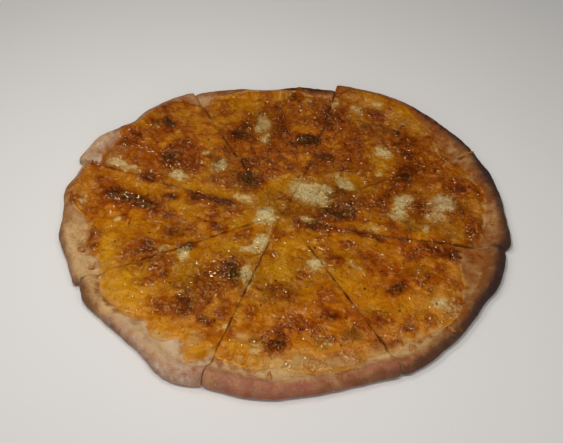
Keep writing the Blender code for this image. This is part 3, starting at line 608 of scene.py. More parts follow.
class Wedge:                    # the shape of one slice, by share across it and radius from its tip
    def __init__(self, number):
        self.number = number
        self.row, self.following = slices[number - 1], slices[number % len(slices)]
        first, last = self.sides(np.zeros(1))
        middle, half = (first[0] + last[0]) / 2, (last[0] - first[0]) / 2
        fromCentre = bread["cutGap"] / 2 / math.sin(half)
        across, ahead = bread["cuts"]
        self.tip = (across + math.cos(middle) * fromCentre, ahead + math.sin(middle) * fromCentre)
        self.shares = np.linspace(0, 1, 1501)
        radius = along(self.row["edge"], self.shares) * mm
        x, y = self.point(self.shares, radius)
        pitch = bread["rimWavePitch"]
        radius += bread["rimWave"] * np.array([noise.noise(Vector((a, b, 0)) / pitch) for a, b in zip(x, y)])
        for drop, fromCut in zip(self.row.get("corners", bread["corners"]), (self.shares, 1 - self.shares)):
            reach = bread["cornerReach"] + bread["cornerSlope"] * drop
            radius -= drop * mm * np.maximum(0, 1 - fromCut / reach) ** 2
        self.edges = radius

    def sides(self, radius):
        swing = (1 - np.minimum(radius / bread["radius"], 1)) ** bread["bendPower"]
        first = self.row["cut"] + self.row["bend"] * swing
        last = self.following["cut"] + self.following["bend"] * swing
        last = np.where(last > first, last, last + 360)
        return np.radians(first), np.radians(last)

    def point(self, share, radius):
        first, last = self.sides(radius)
        angle = first + share * (last - first)
        return self.tip[0] + np.cos(angle) * radius, self.tip[1] + np.sin(angle) * radius

    def shareAt(self, degrees, radius):         # past 1 where the angle lies in another slice
        first, last = self.sides(np.array([radius]))
        return float(((math.radians(degrees) - first[0]) % math.tau) / (last[0] - first[0]))

    def fromCut(self, share, radius):           # distance to the nearer cut
        first, last = self.sides(radius)
        return np.minimum(share, 1 - share) * (last - first) * radius

    def edge(self, share):
        return np.interp(share, self.shares, self.edges)

    def melt(self, share):
        return np.minimum(along(self.row["melt"], share) * mm, self.edge(share) - cheeseLayer["bareRim"])

    def doughTop(self, share, radius):
        inset = np.maximum(self.edge(share) - radius, 0)
        crest = along(self.row["crest"], share) * mm
        rise = smooth((bread["rimWidth"] - inset) / (bread["rimWidth"] - bread["crestInset"]))
        low, base, turn = bread["edgeHeight"], bread["doughThickness"], bread["crestInset"]
        outer = low + (crest - low) * np.sqrt(np.maximum(1 - (1 - inset / turn) ** 2, 0))
        return np.where(inset >= turn, base + (crest - base) * rise, outer)

    def cheeseThickness(self, share, radius, x, y):
        c = cheeseLayer
        fromLip = smooth((self.melt(share) - radius) / c["lipReach"])
        return c["lip"] + (c["thickness"] - c["lip"] + readMap("swell", x, y) * c["relief"]) * fromLip

    def lipCover(self, share, radius, x, y):    # 1 where cheese hides the dough, ragged towards the rim
        c = cheeseLayer
        past = self.melt(share) + self.row.get("spill", 0) * mm - radius
        ragged = c["coverRagged"] * layeredNoise(x, y, c["coverPitch"], 191, 3)
        return smooth(0.62 + past / c["coverFade"] + ragged) * (1 - readMap("thin", x, y))


wedges = [Wedge(number) for number in range(1, len(slices) + 1)]


def insideBox(points):          # the fine relief never leaves the solids' box
    low, high = (np.array(corner) for corner in cadBox)
    return np.clip(points, low, high)


def plainMesh(name, points, faces, layers=None):
    mesh = bpy.data.meshes.new(name)
    mesh.from_pydata(insideBox(points), [], faces)
    mesh.update()
    for key, values in (layers or {}).items():
        store = mesh.attributes.new(key, "FLOAT", "POINT")
        store.data.foreach_set("value", np.asarray(values, np.float32))
    mesh.shade_smooth()
    return mesh


def showMesh(name, mesh, material):
    made = bpy.data.objects.new(name, mesh)
    bpy.context.scene.collection.objects.link(made)
    mesh.materials.clear()
    mesh.materials.append(material)
    return made


# a fan of points has one point more in each row, from the tip of the slice to the edge of its cheese
def firstOf(row):
    return row * (row + 1) // 2


def fanRows(rows):              # row and column of each point
    row = np.repeat(np.arange(rows + 1), np.arange(1, rows + 2))
    return row, np.arange(len(row)) - firstOf(row)


def fanFaces(rows, start=0):
    row, column = fanRows(rows - 1)
    inner, outer = firstOf(row) + column + start, firstOf(row + 1) + column + start
    narrow = np.stack([inner, outer + 1, inner + 1], 1)[column < row]
    return np.concatenate([np.stack([inner, outer, outer + 1], 1), narrow])


def cheeseTop(wedge):
    c = cheeseLayer
    row, column = fanRows(c["rows"])
    share = np.where(row > 0, column / np.maximum(row, 1), 0.5)
    reach = row / c["rows"]
    melt = wedge.melt(share)
    arc = share * 110 * mm + wedge.number * 400 * mm        # a stretch of the noise for each slice
    ran = melt + c["lipWave"] * layeredNoise(arc, arc * 0, c["lipWavePitch"], 71, 4) - c["lipDraw"]
    ran = np.minimum(ran, wedge.edge(share) - c["bareRim"])
    radius = reach * (melt + (ran - melt) * smooth((reach - 0.75) / 0.2))
    x, y = wedge.point(share, radius)
    # melted cheese has run towards the cuts again and nearly closes them in places
    toCut = wedge.fromCut(share, radius)
    first, last = wedge.sides(radius)
    closed = np.where(share < 0.5, wedge.row["closed"], wedge.following["closed"])
    closed = closed + c["closedUneven"] * layeredNoise(x, y, c["closedPitch"], 131)
    shut = np.clip(closed + smooth(1.3 - radius / c["closedNearTip"]), -0.3, 1)
    running = c["cutWander"] * shut * smooth(1 - toCut / c["cutWanderReach"])
    shift = running * smooth(radius / (4 * mm)) / np.maximum(radius * (last - first), 0.5 * mm)
    x, y = wedge.point(share + np.where(share > 0.5, shift, -shift), radius)
    toLip = ran - radius
    thick = wedge.cheeseThickness(share, radius, x, y)
    thick += readMap("relief", x, y) * smooth(toLip / c["reliefFade"])
    thick = np.maximum(thick, c["thinnest"])
    rounded = c["lipRound"] * (1 + 0.6 * layeredNoise(x, y, c["lipRoundPitch"], 77, 2))
    lip = np.clip(1 - toLip / rounded, 0, 1)
    thick *= (1 - lip ** 2) ** c["lipCurve"] * 0.97 + 0.03
    # the knife pressed the edges of each cut down, more in some places than in others
    pressed = 1 + 0.5 * softNoise(x, y, c["cutRoundPitch"], 81 + wedge.number)
    rounding = c["cutRound"] * (1.05 - shut) * pressed
    near = np.clip(1 - toCut / rounding, 0, 1)
    thick -= np.minimum(thick * 0.6, rounding * (1 - np.sqrt(1 - near ** 2)))
    z = wedge.doughTop(share, radius) + c["lift"] + thick
    return share, radius, x, y, z, smooth(1 - shut)


cheeseMasks = ("browning", "cream", "herb", "warm", "crisp", "pale", "bare", "cutEdge")


def cheesePiece(wedge, material):
    c = cheeseLayer
    rows, small = c["rows"], c["rowsBelow"]
    ratio = rows // small
    share, radius, x, y, z, parted = cheeseTop(wedge)
    topCount = len(x)
    rowBelow, columnBelow = fanRows(small)
    above = firstOf(rowBelow * ratio) + columnBelow * ratio     # the top's points over those of the underside
    below = np.arange(len(above)) + topCount
    faces = fanFaces(rows).tolist() + fanFaces(small, topCount)[:, ::-1].tolist()
    for r in range(small):      # the three walls, in panels as long as a row of the underside
        steps = range(r * ratio, (r + 1) * ratio + 1)
        left, right = [firstOf(k) for k in steps], [firstOf(k) + k for k in steps]
        lip = [firstOf(rows) + k for k in steps]
        faces.append(left[::-1] + [below[firstOf(r)], below[firstOf(r + 1)]])
        faces.append(right + [below[firstOf(r + 1) + r + 1], below[firstOf(r) + r]])
        faces.append(lip[::-1] + [below[firstOf(small) + r], below[firstOf(small) + r + 1]])
    both = lambda values: np.concatenate([values, values[above]])
    underZ = wedge.doughTop(share[above], radius[above]) + c["lift"]
    xs, ys, zs = both(x), both(y), np.concatenate([z, underZ])
    layers = {name: readMap(name, xs, ys) for name in cheeseMasks if name in maps}
    layers["bare"] = 1 - wedge.lipCover(both(share), both(radius), xs, ys)
    toCut = wedge.fromCut(both(share), both(radius))
    # painted shade: a dark line along each cut, stronger where the cut stays open
    layers["cutEdge"] = smooth(1 - toCut / c["cutShade"]) * (0.35 + 0.65 * both(parted))
    mesh = plainMesh(f"melted_cheese_{wedge.number}", np.stack([xs, ys, zs], 1), faces, layers)
    made = showMesh(mesh.name, mesh, material)
    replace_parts(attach(made, "root"), f"cheese_{wedge.number}")
    return {"x": x, "y": y, "z": z, "faces": fanFaces(rows), "toLip": wedge.melt(share) - radius,
            "layers": {name: values[:topCount] for name, values in layers.items()}}


# angle in degrees, then how strong and how wide in mm the burnt edge is, the same of the browned band inside
# it, how pink that band is, and flour
rimTones = [
    (0, .75, 5, .8, 9, 0, 0), (8, .9, 8, .9, 13, 0, 0), (16, 1, 10, 1, 15, 0, 0), (24, .9, 6, .95, 11, 0, 0),
    (32, .9, 7.5, .9, 11, 0, 0), (40, 1, 8.5, 1, 13, 0, 0), (48, 1, 8.5, 1, 13, 0, 0),
    (54, .4, 3, .8, 16, 0, 0), (64, .2, 2, .65, 16, 0, 0), (72, .65, 6, .9, 9, 0, 0),
    (80, 1, 8, 1, 11, 0, 0), (88, 1, 9, 1, 14, 0, 0), (96, .45, 4, .95, 14, 0, 0),
    (104, .4, 4, .95, 11, 0, 0), (112, .35, 4, .85, 10, .1, 0), (120, .75, 1.6, .75, 9, .3, .1),
    (128, .8, 2, .75, 9, .3, .2), (136, .8, 3, .85, 8, .2, .2), (144, 1, 5.5, .95, 8, 0, 0),
    (149, .5, 1.5, .4, 6, .5, .7), (154, .15, 1, .3, 8, .6, 1), (160, .15, 1, .3, 8, .6, 1),
    (165, .15, 1, .45, 8, .5, .6), (172, .15, 1, .6, 10, .3, 0), (184, .2, 1.5, .6, 9, .2, 0),
    (188, .5, 3.5, .6, 5, .4, 0), (193, .45, 2.5, .5, 4, .5, .1), (200, .3, 1.8, .45, 4, .6, .2),
    (206, .5, 2.5, .6, 5, .6, .1), (210, .55, 3.5, .8, 7, .4, 0), (216, .5, 3.5, .6, 5, .4, 0),
    (219, .15, 1, .2, 2, .6, 0), (222, .55, 1.5, .75, 4.5, 1, .4), (232, .35, 1.2, .8, 5, 1, .8),
    (240, .25, 1, .75, 6, 1, .9), (248, .1, 1, .75, 10, 1, .9), (253, .1, .8, .85, 13, 1, .15),
    (264, .12, 1, .95, 13, 1, .1), (272, .12, 1, .9, 7, 1, .05), (280, .18, 1.2, .95, 8, .9, .05),
    (288, .25, 1.6, .9, 7, .8, 0), (296, .45, 3, .9, 12, .6, 0), (304, .7, 3.5, .9, 9, .3, 0),
    (312, .75, 3.5, .85, 8, .1, 0), (320, .8, 4, .95, 12, .1, 0), (328, .9, 4.5, .95, 9, 0, 0),
    (336, 1, 7, 1, 13, 0, 0), (344, .95, 8, 1, 17, 0, 0), (352, .85, 7.5, .95, 13, 0, 0),
    (360, .75, 5, .8, 9, 0, 0),
]

# angle in degrees, how much the dough inside the rim has taken of the browning
ledgeTones = [
    (0, .7), (16, .8), (32, .6), (48, .7), (64, .35), (80, .7), (96, .6), (112, .55), (128, .6), (144, .6),
    (160, .6), (176, .5), (184, .3), (190, .1), (204, .06), (208, .08), (224, .04), (240, .02), (300, .06),
    (320, .45), (336, .75), (352, .9), (360, .8),
]

crustLook = {
    "columns": 236,
    "hiddenRows": 9,            # under the cheese
    "rimRows": 38,
    "shoulderRows": 11,
    "sideRows": 9,
    "wallRows": 5,
    "underCheese": 4.0 * mm,    # the fine rows start this far inside the cheese's edge
    "blisterHeight": 0.9 * mm,
    "blisterPitch": 8.0 * mm,
    "wrinkle": 0.42 * mm,
    "wrinklePitch": 4.0 * mm,
    "fold": 0.5,                # depth of the folds along the rim, as a share of the wrinkles
    "foldPitch": 3.2 * mm,
    "skin": 0.09 * mm,
    "skinPitch": 1.3 * mm,
    "underside": 0.15 * mm,
    "undersidePitch": 7.0 * mm,
    "crumbDepth": 0.35 * mm,
    "crumbPitch": 1.4 * mm,
    "browningUneven": ((1.6, 9, 41, 3), (0.7, 2.6, 45, 2)),     # mm, pitch in mm, seed and layers
    "seed": 101,
}


def crustSkin(wedge):           # rows of points from the tip over the rim and back underneath
    c, b = crustLook, bread
    steps = lambda rows: (np.arange(1, c[rows] + 1) / c[rows])[:, None]
    share = np.linspace(0, 1, c["columns"] + 1)[None, :]
    edge, melt = wedge.edge(share), wedge.melt(share)
    foot, start = edge - b["footInset"], melt - c["underCheese"]
    inner = start * (np.arange(c["hiddenRows"] + 1) / c["hiddenRows"])[:, None]
    rim = start + (foot - start) * steps("rimRows")
    shoulder = foot + (edge - foot) * np.sin(steps("shoulderRows") * math.pi / 2)
    fall = steps("sideRows") * math.pi / 2
    side = edge - b["footInset"] * (1 - np.cos(fall))
    top = np.concatenate([inner, rim, shoulder])
    flatRows, topRows = len(inner) + len(rim), len(top)
    sideEnd = topRows + c["sideRows"]
    under = top[:flatRows - 1][::-1]
    radius = np.concatenate([top, side, under])
    shares = np.broadcast_to(share, radius.shape)
    x, y = wedge.point(shares, radius)
    sideHeight = b["edgeHeight"] * (1 - np.sin(fall)) + 0 * share
    z = np.concatenate([wedge.doughTop(shares[:topRows], top), sideHeight, np.zeros_like(under)])
    points = np.stack([x, y, z], -1)
    # blisters, wrinkles and skin push the rim out and in along its own normal
    normal = np.cross(np.gradient(points, axis=0), np.gradient(points, axis=1))
    normal /= np.maximum(np.linalg.norm(normal, axis=2, keepdims=True), 1e-12)
    walked = np.cumsum(np.linalg.norm(np.diff(points, axis=0, prepend=points[:1]), axis=2), axis=0)
    arc = np.unwrap(np.arctan2(y, x), axis=1) * 150 * mm + 0 * walked
    seed = c["seed"]
    puffs = np.maximum(0, layeredNoise(arc, walked, c["blisterPitch"], seed, 2)) ** 2
    fold = 1 - np.abs(softNoise(arc * 0.35, walked, c["foldPitch"], seed + 5))
    wrinkles = layeredNoise(arc, walked, c["wrinklePitch"], seed + 9) - c["fold"] * fold ** 6
    push = c["blisterHeight"] * puffs + c["wrinkle"] * wrinkles
    push += c["skin"] * layeredNoise(arc, walked, c["skinPitch"], seed + 15, 2)
    bare = np.zeros_like(z)
    bare[:topRows] = smooth((top - melt - 0.5 * mm) / (3 * mm))
    bare[topRows:sideEnd] = 1 - np.linspace(0, 1, c["sideRows"])[:, None]
    bare[flatRows:sideEnd] *= 0.45
    points += normal * (push * bare)[..., None]
    uneven = np.maximum(0, layeredNoise(x[sideEnd:], y[sideEnd:], c["undersidePitch"], seed + 21))
    points[sideEnd:, :, 2] += c["underside"] * uneven * smooth((foot - under) / (4 * mm))
    return SimpleNamespace(
        points=points, shares=shares, x=x, y=y, z=z, top=top, edge=edge, arc=arc, walked=walked,
        innerRows=len(inner), flatRows=flatRows, topRows=topRows, sideEnd=sideEnd)


def cutFaces(wedge, skin, grid):        # the crumb that shows where the bread was cut
    c = crustLook
    allPoints, faces, count = [skin.points.reshape(-1, 3)], [], grid.size
    firstCut, lastCut = wedge.sides(np.array([80 * mm]))
    for column, angle in ((0, firstCut[0] + math.pi / 2), (grid.shape[1] - 1, lastCut[0] - math.pi / 2)):
        upper, lower = grid[:skin.flatRows, column], grid[::-1, column][:skin.flatRows]
        inward = np.array([math.cos(angle), math.sin(angle), 0])
        high, low = allPoints[0][upper], allPoints[0][lower]
        depth = c["crumbDepth"] * smooth((skin.top[:skin.flatRows, column] / mm - 6) / 10)
        lines = [upper]
        for level in range(1, c["wallRows"]):
            part = level / c["wallRows"]
            line = high * (1 - part) + low * part
            across, up = line[:, 0] + line[:, 1] * 1.3, line[:, 2] + level * 2.3 * mm
            rough = np.abs(layeredNoise(across, up, c["crumbPitch"], c["seed"] + 31 + column, 2))
            allPoints.append(line + inward[None, :] * (rough * depth)[:, None])
            lines.append(np.arange(len(line)) + count)
            count += len(line)
        lines.append(lower)
        walls = [np.stack([up[:-1], up[1:], down[1:], down[:-1]], 1) for up, down in zip(lines, lines[1:])]
        bulge = list(grid[skin.flatRows - 1:skin.sideEnd, column]) + [line[-1] for line in lines[1:-1]][::-1]
        turned = slice(None, None, -1 if column else 1)
        for wall in walls:
            faces += wall[:, turned].tolist()
        faces.append(bulge[turned])
    return np.concatenate(allPoints), faces


def crustMasks(wedge, skin):    # tones of the rim, by angle and by distance in mm from the outer edge
    seed, rows = crustLook["seed"], skin.topRows

    def uneven(pitch, more, layers=3):
        return layeredNoise(skin.arc, skin.walked, pitch * mm, seed + more, layers)

    inset, below, underneath = (np.zeros_like(skin.z) for _ in range(3))
    inset[:rows] = (skin.edge - skin.top) / mm
    below[rows:skin.sideEnd] = np.linspace(0.1, 1, crustLook["sideRows"])[:, None]
    underneath[skin.sideEnd:] = 1
    degrees = np.degrees(np.arctan2(skin.y - bread["cuts"][1], skin.x - bread["cuts"][0])) % 360
    table = np.array(rimTones, float)
    dark, darkWide, brown, brownWide, pink, flour = (
        np.interp(degrees, table[:, 0], column) for column in table.T[1:])
    shown = inset + sum(depth * uneven(*grain) for depth, *grain in crustLook["browningUneven"])
    burnt = dark * smooth((1.35 * darkWide + 1.0 - shown) / (0.8 * darkWide + 1.5)) * (1 - 0.3 * below)
    soft = 5 + 5 * pink
    tanned = brown * smooth((brownWide + 0.5 * soft - shown) / soft)
    burnt += 0.2 * np.maximum(0, uneven(5, 51)) * tanned
    tanned *= 1 + 0.45 * uneven(10, 91)
    tanned = np.maximum(tanned, 0.8 * pink * np.maximum(smooth(2 * below), smooth((3.5 - shown) / 3)))
    ledge = np.interp(degrees, *zip(*ledgeTones))
    ledge *= 0.8 + 0.5 * layeredNoise(skin.x, skin.y, 7 * mm, seed + 61)
    tanned = np.maximum(tanned, ledge * (1 - underneath))
    stained = np.zeros_like(skin.z)
    x, y = skin.x[:rows], skin.y[:rows]
    stained[:rows] = np.maximum(wedge.lipCover(skin.shares[:rows], skin.top, x, y), readMap("over", x, y))
    return {"burnt": np.clip(burnt, 0, 1), "cool": smooth(0.2 + 1.2 * np.cos(np.radians(degrees - 335))),
            "tanned": np.clip(tanned, 0, 1), "pinkish": pink * np.clip(1 + 1.1 * uneven(11, 81), 0.2, 1.5),
            "floury": flour * np.clip(1 + 1.6 * uneven(8, 85), 0, 2), "stained": stained,
            "underneath": underneath}, burnt, tanned


def gridFaces(grid):
    return np.stack([grid[:-1, :-1], grid[1:, :-1], grid[1:, 1:], grid[:-1, 1:]], -1).reshape(-1, 4)


def crustPiece(wedge, material):
    skin = crustSkin(wedge)
    grid = np.arange(skin.z.size).reshape(skin.z.shape)
    points, walls = cutFaces(wedge, skin, grid)
    masks, burnt, tanned = crustMasks(wedge, skin)
    spare = np.zeros(len(points) - grid.size)
    layers = {name: np.concatenate([values.reshape(-1), spare]) for name, values in masks.items()}
    layers["crumb"] = np.concatenate([np.zeros(grid.size), spare + 1])
    mesh = plainMesh(f"baked_crust_{wedge.number}", points, gridFaces(grid).tolist() + walls, layers)
    cleaned = bmesh.new()
    cleaned.from_mesh(mesh)
    bmesh.ops.remove_doubles(cleaned, verts=cleaned.verts[:], dist=0.002 * mm)
    bmesh.ops.recalc_face_normals(cleaned, faces=cleaned.faces[:])
    cleaned.to_mesh(mesh)
    cleaned.free()
    mesh.shade_smooth()
    made = showMesh(mesh.name, mesh, material)
    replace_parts(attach(made, "root"), f"crust_{wedge.number}")
    shown = slice(skin.innerRows + 6, skin.flatRows)        # the open dough, for what lies on it
    ground = skin.points[shown].reshape(-1, 3)
    return {"x": ground[:, 0], "y": ground[:, 1], "z": ground[:, 2],
            "faces": gridFaces(np.arange(len(ground)).reshape(-1, grid.shape[1])),
            "layers": {"burnt": burnt[shown].reshape(-1), "tanned": tanned[shown].reshape(-1)}}


def hexTone(text):              # a colour as seen, to the numbers that shaders work in
    parts = [int(text[k:k + 2], 16) / 255 for k in (0, 2, 4)]
    return tuple(p / 12.92 if p <= 0.04045 else ((p + 0.055) / 1.055) ** 2.4 for p in parts) + (1.0,)


class Paint:                    # short words for the nodes of one tree
    def __init__(self, tree):
        self.tree = tree

    def fill(self, made, inputs):       # links what comes from a node, and sets plain values
        for key, value in inputs.items():
            if isinstance(value, bpy.types.NodeSocket):
                self.tree.links.new(value, made.inputs[key])
            else:
                made.inputs[key].default_value = value

    def node(self, kind, inputs=None, **settings):
        made = self.tree.nodes.new(kind)
        for key, value in settings.items():
            setattr(made, key, value)
        self.fill(made, inputs or {})
        return made

    def place(self, group, **inputs):
        return self.node("ShaderNodeGroup", inputs, node_tree=group).outputs

    def maths(self, operation, *values):
        return self.node("ShaderNodeMath", dict(enumerate(values)), operation=operation).outputs[0]

    def vector(self, operation, inputs):
        return self.node("ShaderNodeVectorMath", inputs, operation=operation).outputs["Vector"]

    def anyVector(self, seed, low, high):       # random, from low to high
        inputs = {"Seed": seed, 0: low, 1: high}
        return self.node("FunctionNodeRandomValue", inputs, data_type="FLOAT_VECTOR").outputs["Value"]

    def times(self, a, b):
        return self.maths("MULTIPLY", a, b)

    def scaled(self, value, by, more):          # value * by + more
        return self.maths("MULTIPLY_ADD", value, by, more)

    def held(self, value):      # kept from 0 to 1
        value.node.use_clamp = True
        return value

    def mix(self, factor, a, b, blend="MIX"):
        a, b = (hexTone(tone) if isinstance(tone, str) else tone for tone in (a, b))
        inputs = {0: factor, 6: a, 7: b}
        return self.node("ShaderNodeMix", inputs, data_type="RGBA", blend_type=blend).outputs[2]

    def ramp(self, factor, stops):
        made = self.node("ShaderNodeValToRGB", {"Fac": factor})
        for _ in stops[2:]:
            made.color_ramp.elements.new(0.5)
        for element, (place, colour) in zip(made.color_ramp.elements, stops):
            element.position, element.color = place, hexTone(colour)
        return made.outputs["Color"]

    def mask(self, name):
        return self.node("ShaderNodeAttribute", attribute_name=name).outputs["Fac"]

    def bump(self, height, strength, distance):
        inputs = {"Height": height, "Strength": strength, "Distance": distance}
        return self.node("ShaderNodeBump", inputs).outputs["Normal"]


def startMaterial(name):        # the material, its paint, its shader and the place on the piece
    material = bpy.data.materials.new(name)
    material.use_nodes = True
    paint = Paint(material.node_tree)
    where = paint.node("ShaderNodeTexCoord").outputs["Object"]
    return material, paint, paint.tree.nodes["Principled BSDF"], where


def startGroup(name, kind, inputs, outputs):    # inputs and outputs by name: a number, or the kind of socket
    tree = bpy.data.node_groups.new(name, kind + "NodeTree")
    for way, sockets in (("INPUT", inputs), ("OUTPUT", outputs)):
        for key, value in sockets.items():
            plain = isinstance(value, float)
            kind = "Float" if plain else value
            made = tree.interface.new_socket(key, in_out=way, socket_type="NodeSocket" + kind)
            if plain:
                made.default_value = value
    given, out = tree.nodes.new("NodeGroupInput"), tree.nodes.new("NodeGroupOutput")
    return Paint(tree), given.outputs, lambda name, value: tree.links.new(value, out.inputs[name])


def mottleGroup():              # uneven tone and height at one size of grain
    inputs = {"Vector": "Vector", "Grain": 600.0, "Stretch": 0.5}
    paint, given, give = startGroup("mottle", "Shader", inputs, {"Tone": "Float", "Height": "Float"})
    where, grain = given["Vector"], given["Grain"]
    coarse = paint.node("ShaderNodeTexNoise", {"Vector": where, "Scale": grain, "Detail": 3.0,
                                               "Roughness": 0.6})
    fine = paint.node("ShaderNodeTexNoise", {"Vector": where, "Scale": paint.times(grain, 3.7), "Detail": 2.0,
                                             "Roughness": 0.5, "Distortion": 0.4})
    fineTone = paint.maths("SUBTRACT", fine.outputs["Fac"], 0.5)
    height = paint.scaled(fineTone, given["Stretch"], coarse.outputs["Fac"])
    give("Tone", paint.maths("SUBTRACT", height, 0.5))
    give("Height", height)
    return paint.tree


def specksGroup():              # small round specks, more of them where the mask is high
    inputs = {"Vector": "Vector", "Spacing": 700.0, "Mask": 0.2, "Size": 0.3}
    paint, given, give = startGroup("specks", "Shader", inputs, {"Speck": "Float"})
    cells = paint.node("ShaderNodeTexVoronoi", {"Vector": given["Vector"], "Scale": given["Spacing"]})
    luck = paint.node("ShaderNodeSeparateColor", {"Color": cells.outputs["Color"]}).outputs
    chosen = paint.maths("LESS_THAN", luck[0], given["Mask"])
    size = paint.times(given["Size"], paint.maths("ADD", luck[1], 0.4))
    near = paint.maths("SUBTRACT", size, cells.outputs["Distance"])
    give("Speck", paint.times(paint.held(paint.times(near, 9.0)), chosen))
    return paint.tree


mottle, specks = mottleGroup(), specksGroup()

cheeseTones = {
    # the tones of browning, which also carry the painted light and shade of the relief
    "browning": [(0.0, "ce8e0c"), (0.2, "bf7a03"), (0.4, "ac5f00"), (0.55, "944300"), (0.7, "7a2d00"),
                 (0.85, "5c1b00"), (1.0, "3c0e00")],
    "warm": (1.08, 0.90, 0.9, 1.0),
    "pale": "dca04c",
    "paleDepth": 0.62,
    # the cream tone also paints a few small spots of highlight pale
    "cream": "e2cf98",
    "creamDepth": 0.88,
    "creamEdge": "ba8822",
    "creamEdgeDepth": 0.75,
    "herb": "503a08",
    "dough": "d8b274",
    "doughDeep": "bc8a4c",
    "bareDepth": 0.9,
    "speck": "1e1206",
    "speckDepth": 0.7,
    # painted shade: the tone of the dark line along the cuts
    "cut": "5a2c0a",
    "cutShadeDepth": 0.6,
    "grain": 800.0,
    "fineGrain": 1500.0,
    "speckSpacing": 900.0,
    "roughness": 0.32,
    "oiliness": 0.19,
}


def cheeseGroup():              # the tones and surface of melted cheese, which beads of fat take over
    t = cheeseTones
    inputs = {"Vector": "Vector", "Lightness": 1.0, **dict.fromkeys(cheeseMasks, 0.0)}
    outputs = {"Colour": "Color", "Roughness": "Float", "Height": "Float"}
    paint, given, give = startGroup("melted_tones", "Shader", inputs, outputs)
    where, crispMask = given["Vector"], given["crisp"]
    big = paint.place(mottle, Vector=where, Grain=t["grain"], Stretch=0.6)
    small = paint.place(mottle, Vector=where, Grain=t["fineGrain"], Stretch=0.5)
    tone, fine = big["Tone"], small["Tone"]
    brown = paint.scaled(tone, paint.scaled(crispMask, 0.08, 0.06), given["browning"])
    base = paint.ramp(brown, t["browning"])
    paleMask = paint.held(paint.scaled(tone, 0.8, given["pale"]))
    base = paint.mix(paint.times(paleMask, t["paleDepth"]), base, t["pale"])
    creamy = paint.scaled(fine, 0.3, paint.scaled(tone, 0.5, given["cream"]))
    creamEdge = paint.held(paint.times(paint.maths("SUBTRACT", creamy, 0.02), 2.0))
    creamMask = paint.held(paint.times(paint.maths("SUBTRACT", creamy, 0.2), 1.35))
    base = paint.mix(paint.times(creamEdge, t["creamEdgeDepth"]), base, t["creamEdge"])
    base = paint.mix(paint.times(creamMask, t["creamDepth"]), base, t["cream"])
    base = paint.mix(given["warm"], base, paint.mix(1.0, base, t["warm"], "MULTIPLY"))
    dough = paint.mix(paint.scaled(tone, 2.0, 0.45), t["dough"], t["doughDeep"])
    base = paint.mix(paint.times(given["bare"], t["bareDepth"]), base, dough)
    herbTint = paint.times(given["herb"], paint.scaled(tone, 1.0, 0.55))
    herbTint = paint.times(herbTint, paint.scaled(creamEdge, -0.45, 1.0))
    herbTint = paint.held(paint.times(herbTint, paint.scaled(crispMask, -0.65, 1.0)))
    base = paint.mix(herbTint, base, t["herb"])
    dotty = paint.times(paint.scaled(given["herb"], 0.3, 0.012), paint.scaled(given["bare"], -0.9, 1.0))
    dots = paint.place(specks, Vector=where, Spacing=t["speckSpacing"], Mask=dotty, Size=0.4)["Speck"]
    base = paint.mix(paint.times(dots, t["speckDepth"]), base, t["speck"])
    # painted shade darkens the cheese along the cuts
    base = paint.mix(paint.times(given["cutEdge"], t["cutShadeDepth"]), base, t["cut"])
    light = paint.scaled(tone, 0.65, paint.scaled(fine, 0.5, given["Lightness"]))
    light = paint.node("ShaderNodeCombineXYZ", {axis: light for axis in "XYZ"}).outputs["Vector"]
    give("Colour", paint.mix(1.0, base, light, "MULTIPLY"))
    oily = paint.maths("MAXIMUM", crispMask, paint.times(creamEdge, 0.8))
    give("Roughness", paint.scaled(oily, -t["oiliness"], paint.scaled(fine, 0.2, t["roughness"])))
    give("Height", paint.scaled(dots, 0.25, paint.scaled(small["Height"], 0.45, big["Height"])))
    return paint.tree


# the roughness is a share of the group's own, and what is added to it
cheeseFinish = {"lightness": 1.0, "roughness": (1.0, 0.0), "refraction": 1.5, "specular": 0.4,
                "tint": (1.0, 0.6, 0.12, 1.0), "bump": (0.15, 0.7 * mm)}
fatFinish = {"lightness": 1.08, "roughness": (0.3, 0.05), "refraction": 2.35, "specular": 1.0,
             "tint": (1.0, 0.82, 0.46, 1.0), "bump": (0.15, 0.7 * mm)}
meltedTones = cheeseGroup()


def meltedCheese(name, finish):
    material, paint, shader, where = startMaterial(name)
    masks = {mask: paint.mask(mask) for mask in cheeseMasks}
    tones = paint.place(meltedTones, Vector=where, Lightness=finish["lightness"], **masks)
    paint.fill(shader, {
        "Base Color": tones["Colour"],
        "Roughness": paint.scaled(tones["Roughness"], *finish["roughness"]),
        "Normal": paint.bump(tones["Height"], *finish["bump"]),
        "IOR": finish["refraction"],
        "Specular IOR Level": finish["specular"],
        "Specular Tint": finish["tint"],
    })
    return material


crustTones = {
    "dough": "e0ba80",
    "doughDeep": "c09256",
    "tan": "8c5528",
    "pink": "ad6850",
    "burnt": "401c0b",
    "burntCool": "44302c",
    "flour": "dcc7b0",
    "stain": "ac641c",
    "stainDeep": "7c360c",
    "stainDepth": 0.85,
    "crumb": "d2b98c",
    # painted shade: the darker tone of the pores in the crumb, whose hollows lie in shade
    "poreShade": "8f6f45",
    "under": "a9834f",
    "scorch": "5a3a1f",
    "pepper": "35261a",
    "broadGrain": 60.0,
    "grain": 230.0,
    "fineGrain": 1100.0,
    "roughness": 0.62,
    "bump": (0.5, 0.30 * mm),
    "specular": 0.1,
}


